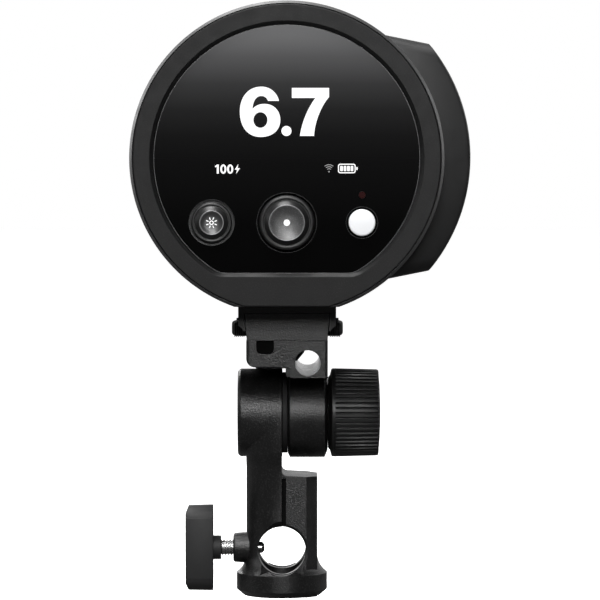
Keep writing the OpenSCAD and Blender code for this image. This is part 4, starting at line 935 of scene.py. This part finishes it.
def make_floor():
    span = 6.0
    mesh = bpy.data.meshes.new("floor")
    mesh.from_pydata([(-span, -span, FLOOR_Z), (span, -span, FLOOR_Z), (span, span, FLOOR_Z),
                      (-span, span, FLOOR_Z)], [], [(0, 1, 2, 3)])
    obj = bpy.data.objects.new("floor", mesh)
    scene.collection.objects.link(obj)
    mat = bpy.data.materials.new("floor_paper")
    mat.use_nodes = True
    t = Tree(mat.node_tree)
    bsdf = mat.node_tree.nodes["Principled BSDF"]
    where = t.node("ShaderNodeTexCoord").outputs["Object"]
    fibre = t.noise(where, 900.0, 3.0)
    path = t.node("ShaderNodeLightPath").outputs["Is Camera Ray"]
    pale = t.mix(t.span(fibre, 0.3, 0.7), (0.90, 0.90, 0.90, 1), (0.94, 0.94, 0.94, 1))
    t.link(t.mix(path, (0.06, 0.06, 0.06, 1), pale), bsdf.inputs["Base Color"])
    bsdf.inputs["Roughness"].default_value = 0.95
    bsdf.inputs["Specular IOR Level"].default_value = 0.1
    bsdf.inputs["Emission Color"].default_value = (1, 1, 1, 1)
    t.link(t.math("MULTIPLY", path, 0.75), bsdf.inputs["Emission Strength"])
    mesh.materials.append(mat)


make_floor()


def make_world():
    world = bpy.data.worlds.new("studio")
    scene.world = world
    world.use_nodes = True
    t = Tree(world.node_tree)
    back = world.node_tree.nodes["Background"]
    where = t.node("ShaderNodeTexCoord").outputs["Generated"]
    split = t.node("ShaderNodeSeparateXYZ")
    t.link(where, split.inputs[0])
    behind = t.node("ShaderNodeMapRange", interpolation_type="SMOOTHSTEP")
    t.link(split.outputs["Y"], behind.inputs[0])
    behind.inputs[1].default_value = 0.55
    behind.inputs[2].default_value = 0.97
    above = t.node("ShaderNodeMapRange", interpolation_type="SMOOTHSTEP")
    t.link(split.outputs["Z"], above.inputs[0])
    above.inputs[1].default_value = 0.2
    above.inputs[2].default_value = 1.0
    level = t.math("ADD", 0.02, t.math("MULTIPLY", above.outputs[0], 0.30))
    level = t.math("ADD", level, t.math("MULTIPLY", behind.outputs[0], 0.80))
    path = t.node("ShaderNodeLightPath").outputs["Is Camera Ray"]
    seen = t.mix(path, (0, 0, 0, 1), (1, 1, 1, 1))
    t.link(seen, back.inputs["Color"])
    both = t.node("ShaderNodeMix", data_type="FLOAT")
    t.value(both.inputs[0], path)
    t.value(both.inputs[2], level)
    both.inputs[3].default_value = 1.0
    t.link(both.outputs[0], back.inputs["Strength"])
    back.inputs["Color"].default_value = (1, 1, 1, 1)
    for link in list(back.inputs["Color"].links):
        world.node_tree.links.remove(link)


make_world()


def soft_light(name, place, target, size, power, size_y=None):
    data = bpy.data.lights.new(name, "AREA")
    data.shape = "RECTANGLE"
    data.size = size
    data.size_y = size_y or size
    data.energy = power
    lamp = bpy.data.objects.new(name, data)
    lamp.location = place
    lamp.rotation_mode = "QUATERNION"
    lamp.rotation_quaternion = (Vector(target) - Vector(place)).to_track_quat("-Z", "Y")
    scene.collection.objects.link(lamp)
    return lamp


soft_light("key_box", (0.05, -1.45, 0.47), (0, 0, 0.1), 0.30, 7.6, 0.24)
soft_light("high_box", (-0.15, -0.95, 0.95), (0, 0, 0.15), 0.5, 9, 0.3)
soft_light("top_box", (-0.2, -0.05, 1.2), (0, 0, 0.15), 0.8, 24, 0.5)
side_lit = bpy.data.collections.new("side_lit")
side_lit.objects.link(bpy.data.objects["collar_trim"])
for lamp_box in (soft_light("left_box", (-1.1, -0.1, 0.55), (0, 0, 0.12), 0.5, 14, 0.7),
                 soft_light("right_box", (1.1, -0.05, 0.35), (0, 0, 0.12), 0.3, 4, 0.6)):
    lamp_box.light_linking.receiver_collection = side_lit
soft_light("left_fill", (-1.1, -0.1, 0.45), (0, 0, 0.12), 0.3, 1.5, 0.5)
soft_light("right_fill", (1.25, 0.5, 0.55), (0, 0.02, 0.14), 0.6, 5, 0.5)
soft_light("back_fill", (-0.5, 1.4, 0.75), (0, 0, 0.14), 0.5, 6, 0.4)

scene.view_settings.view_transform = "Standard"
scene.view_settings.look = "None"
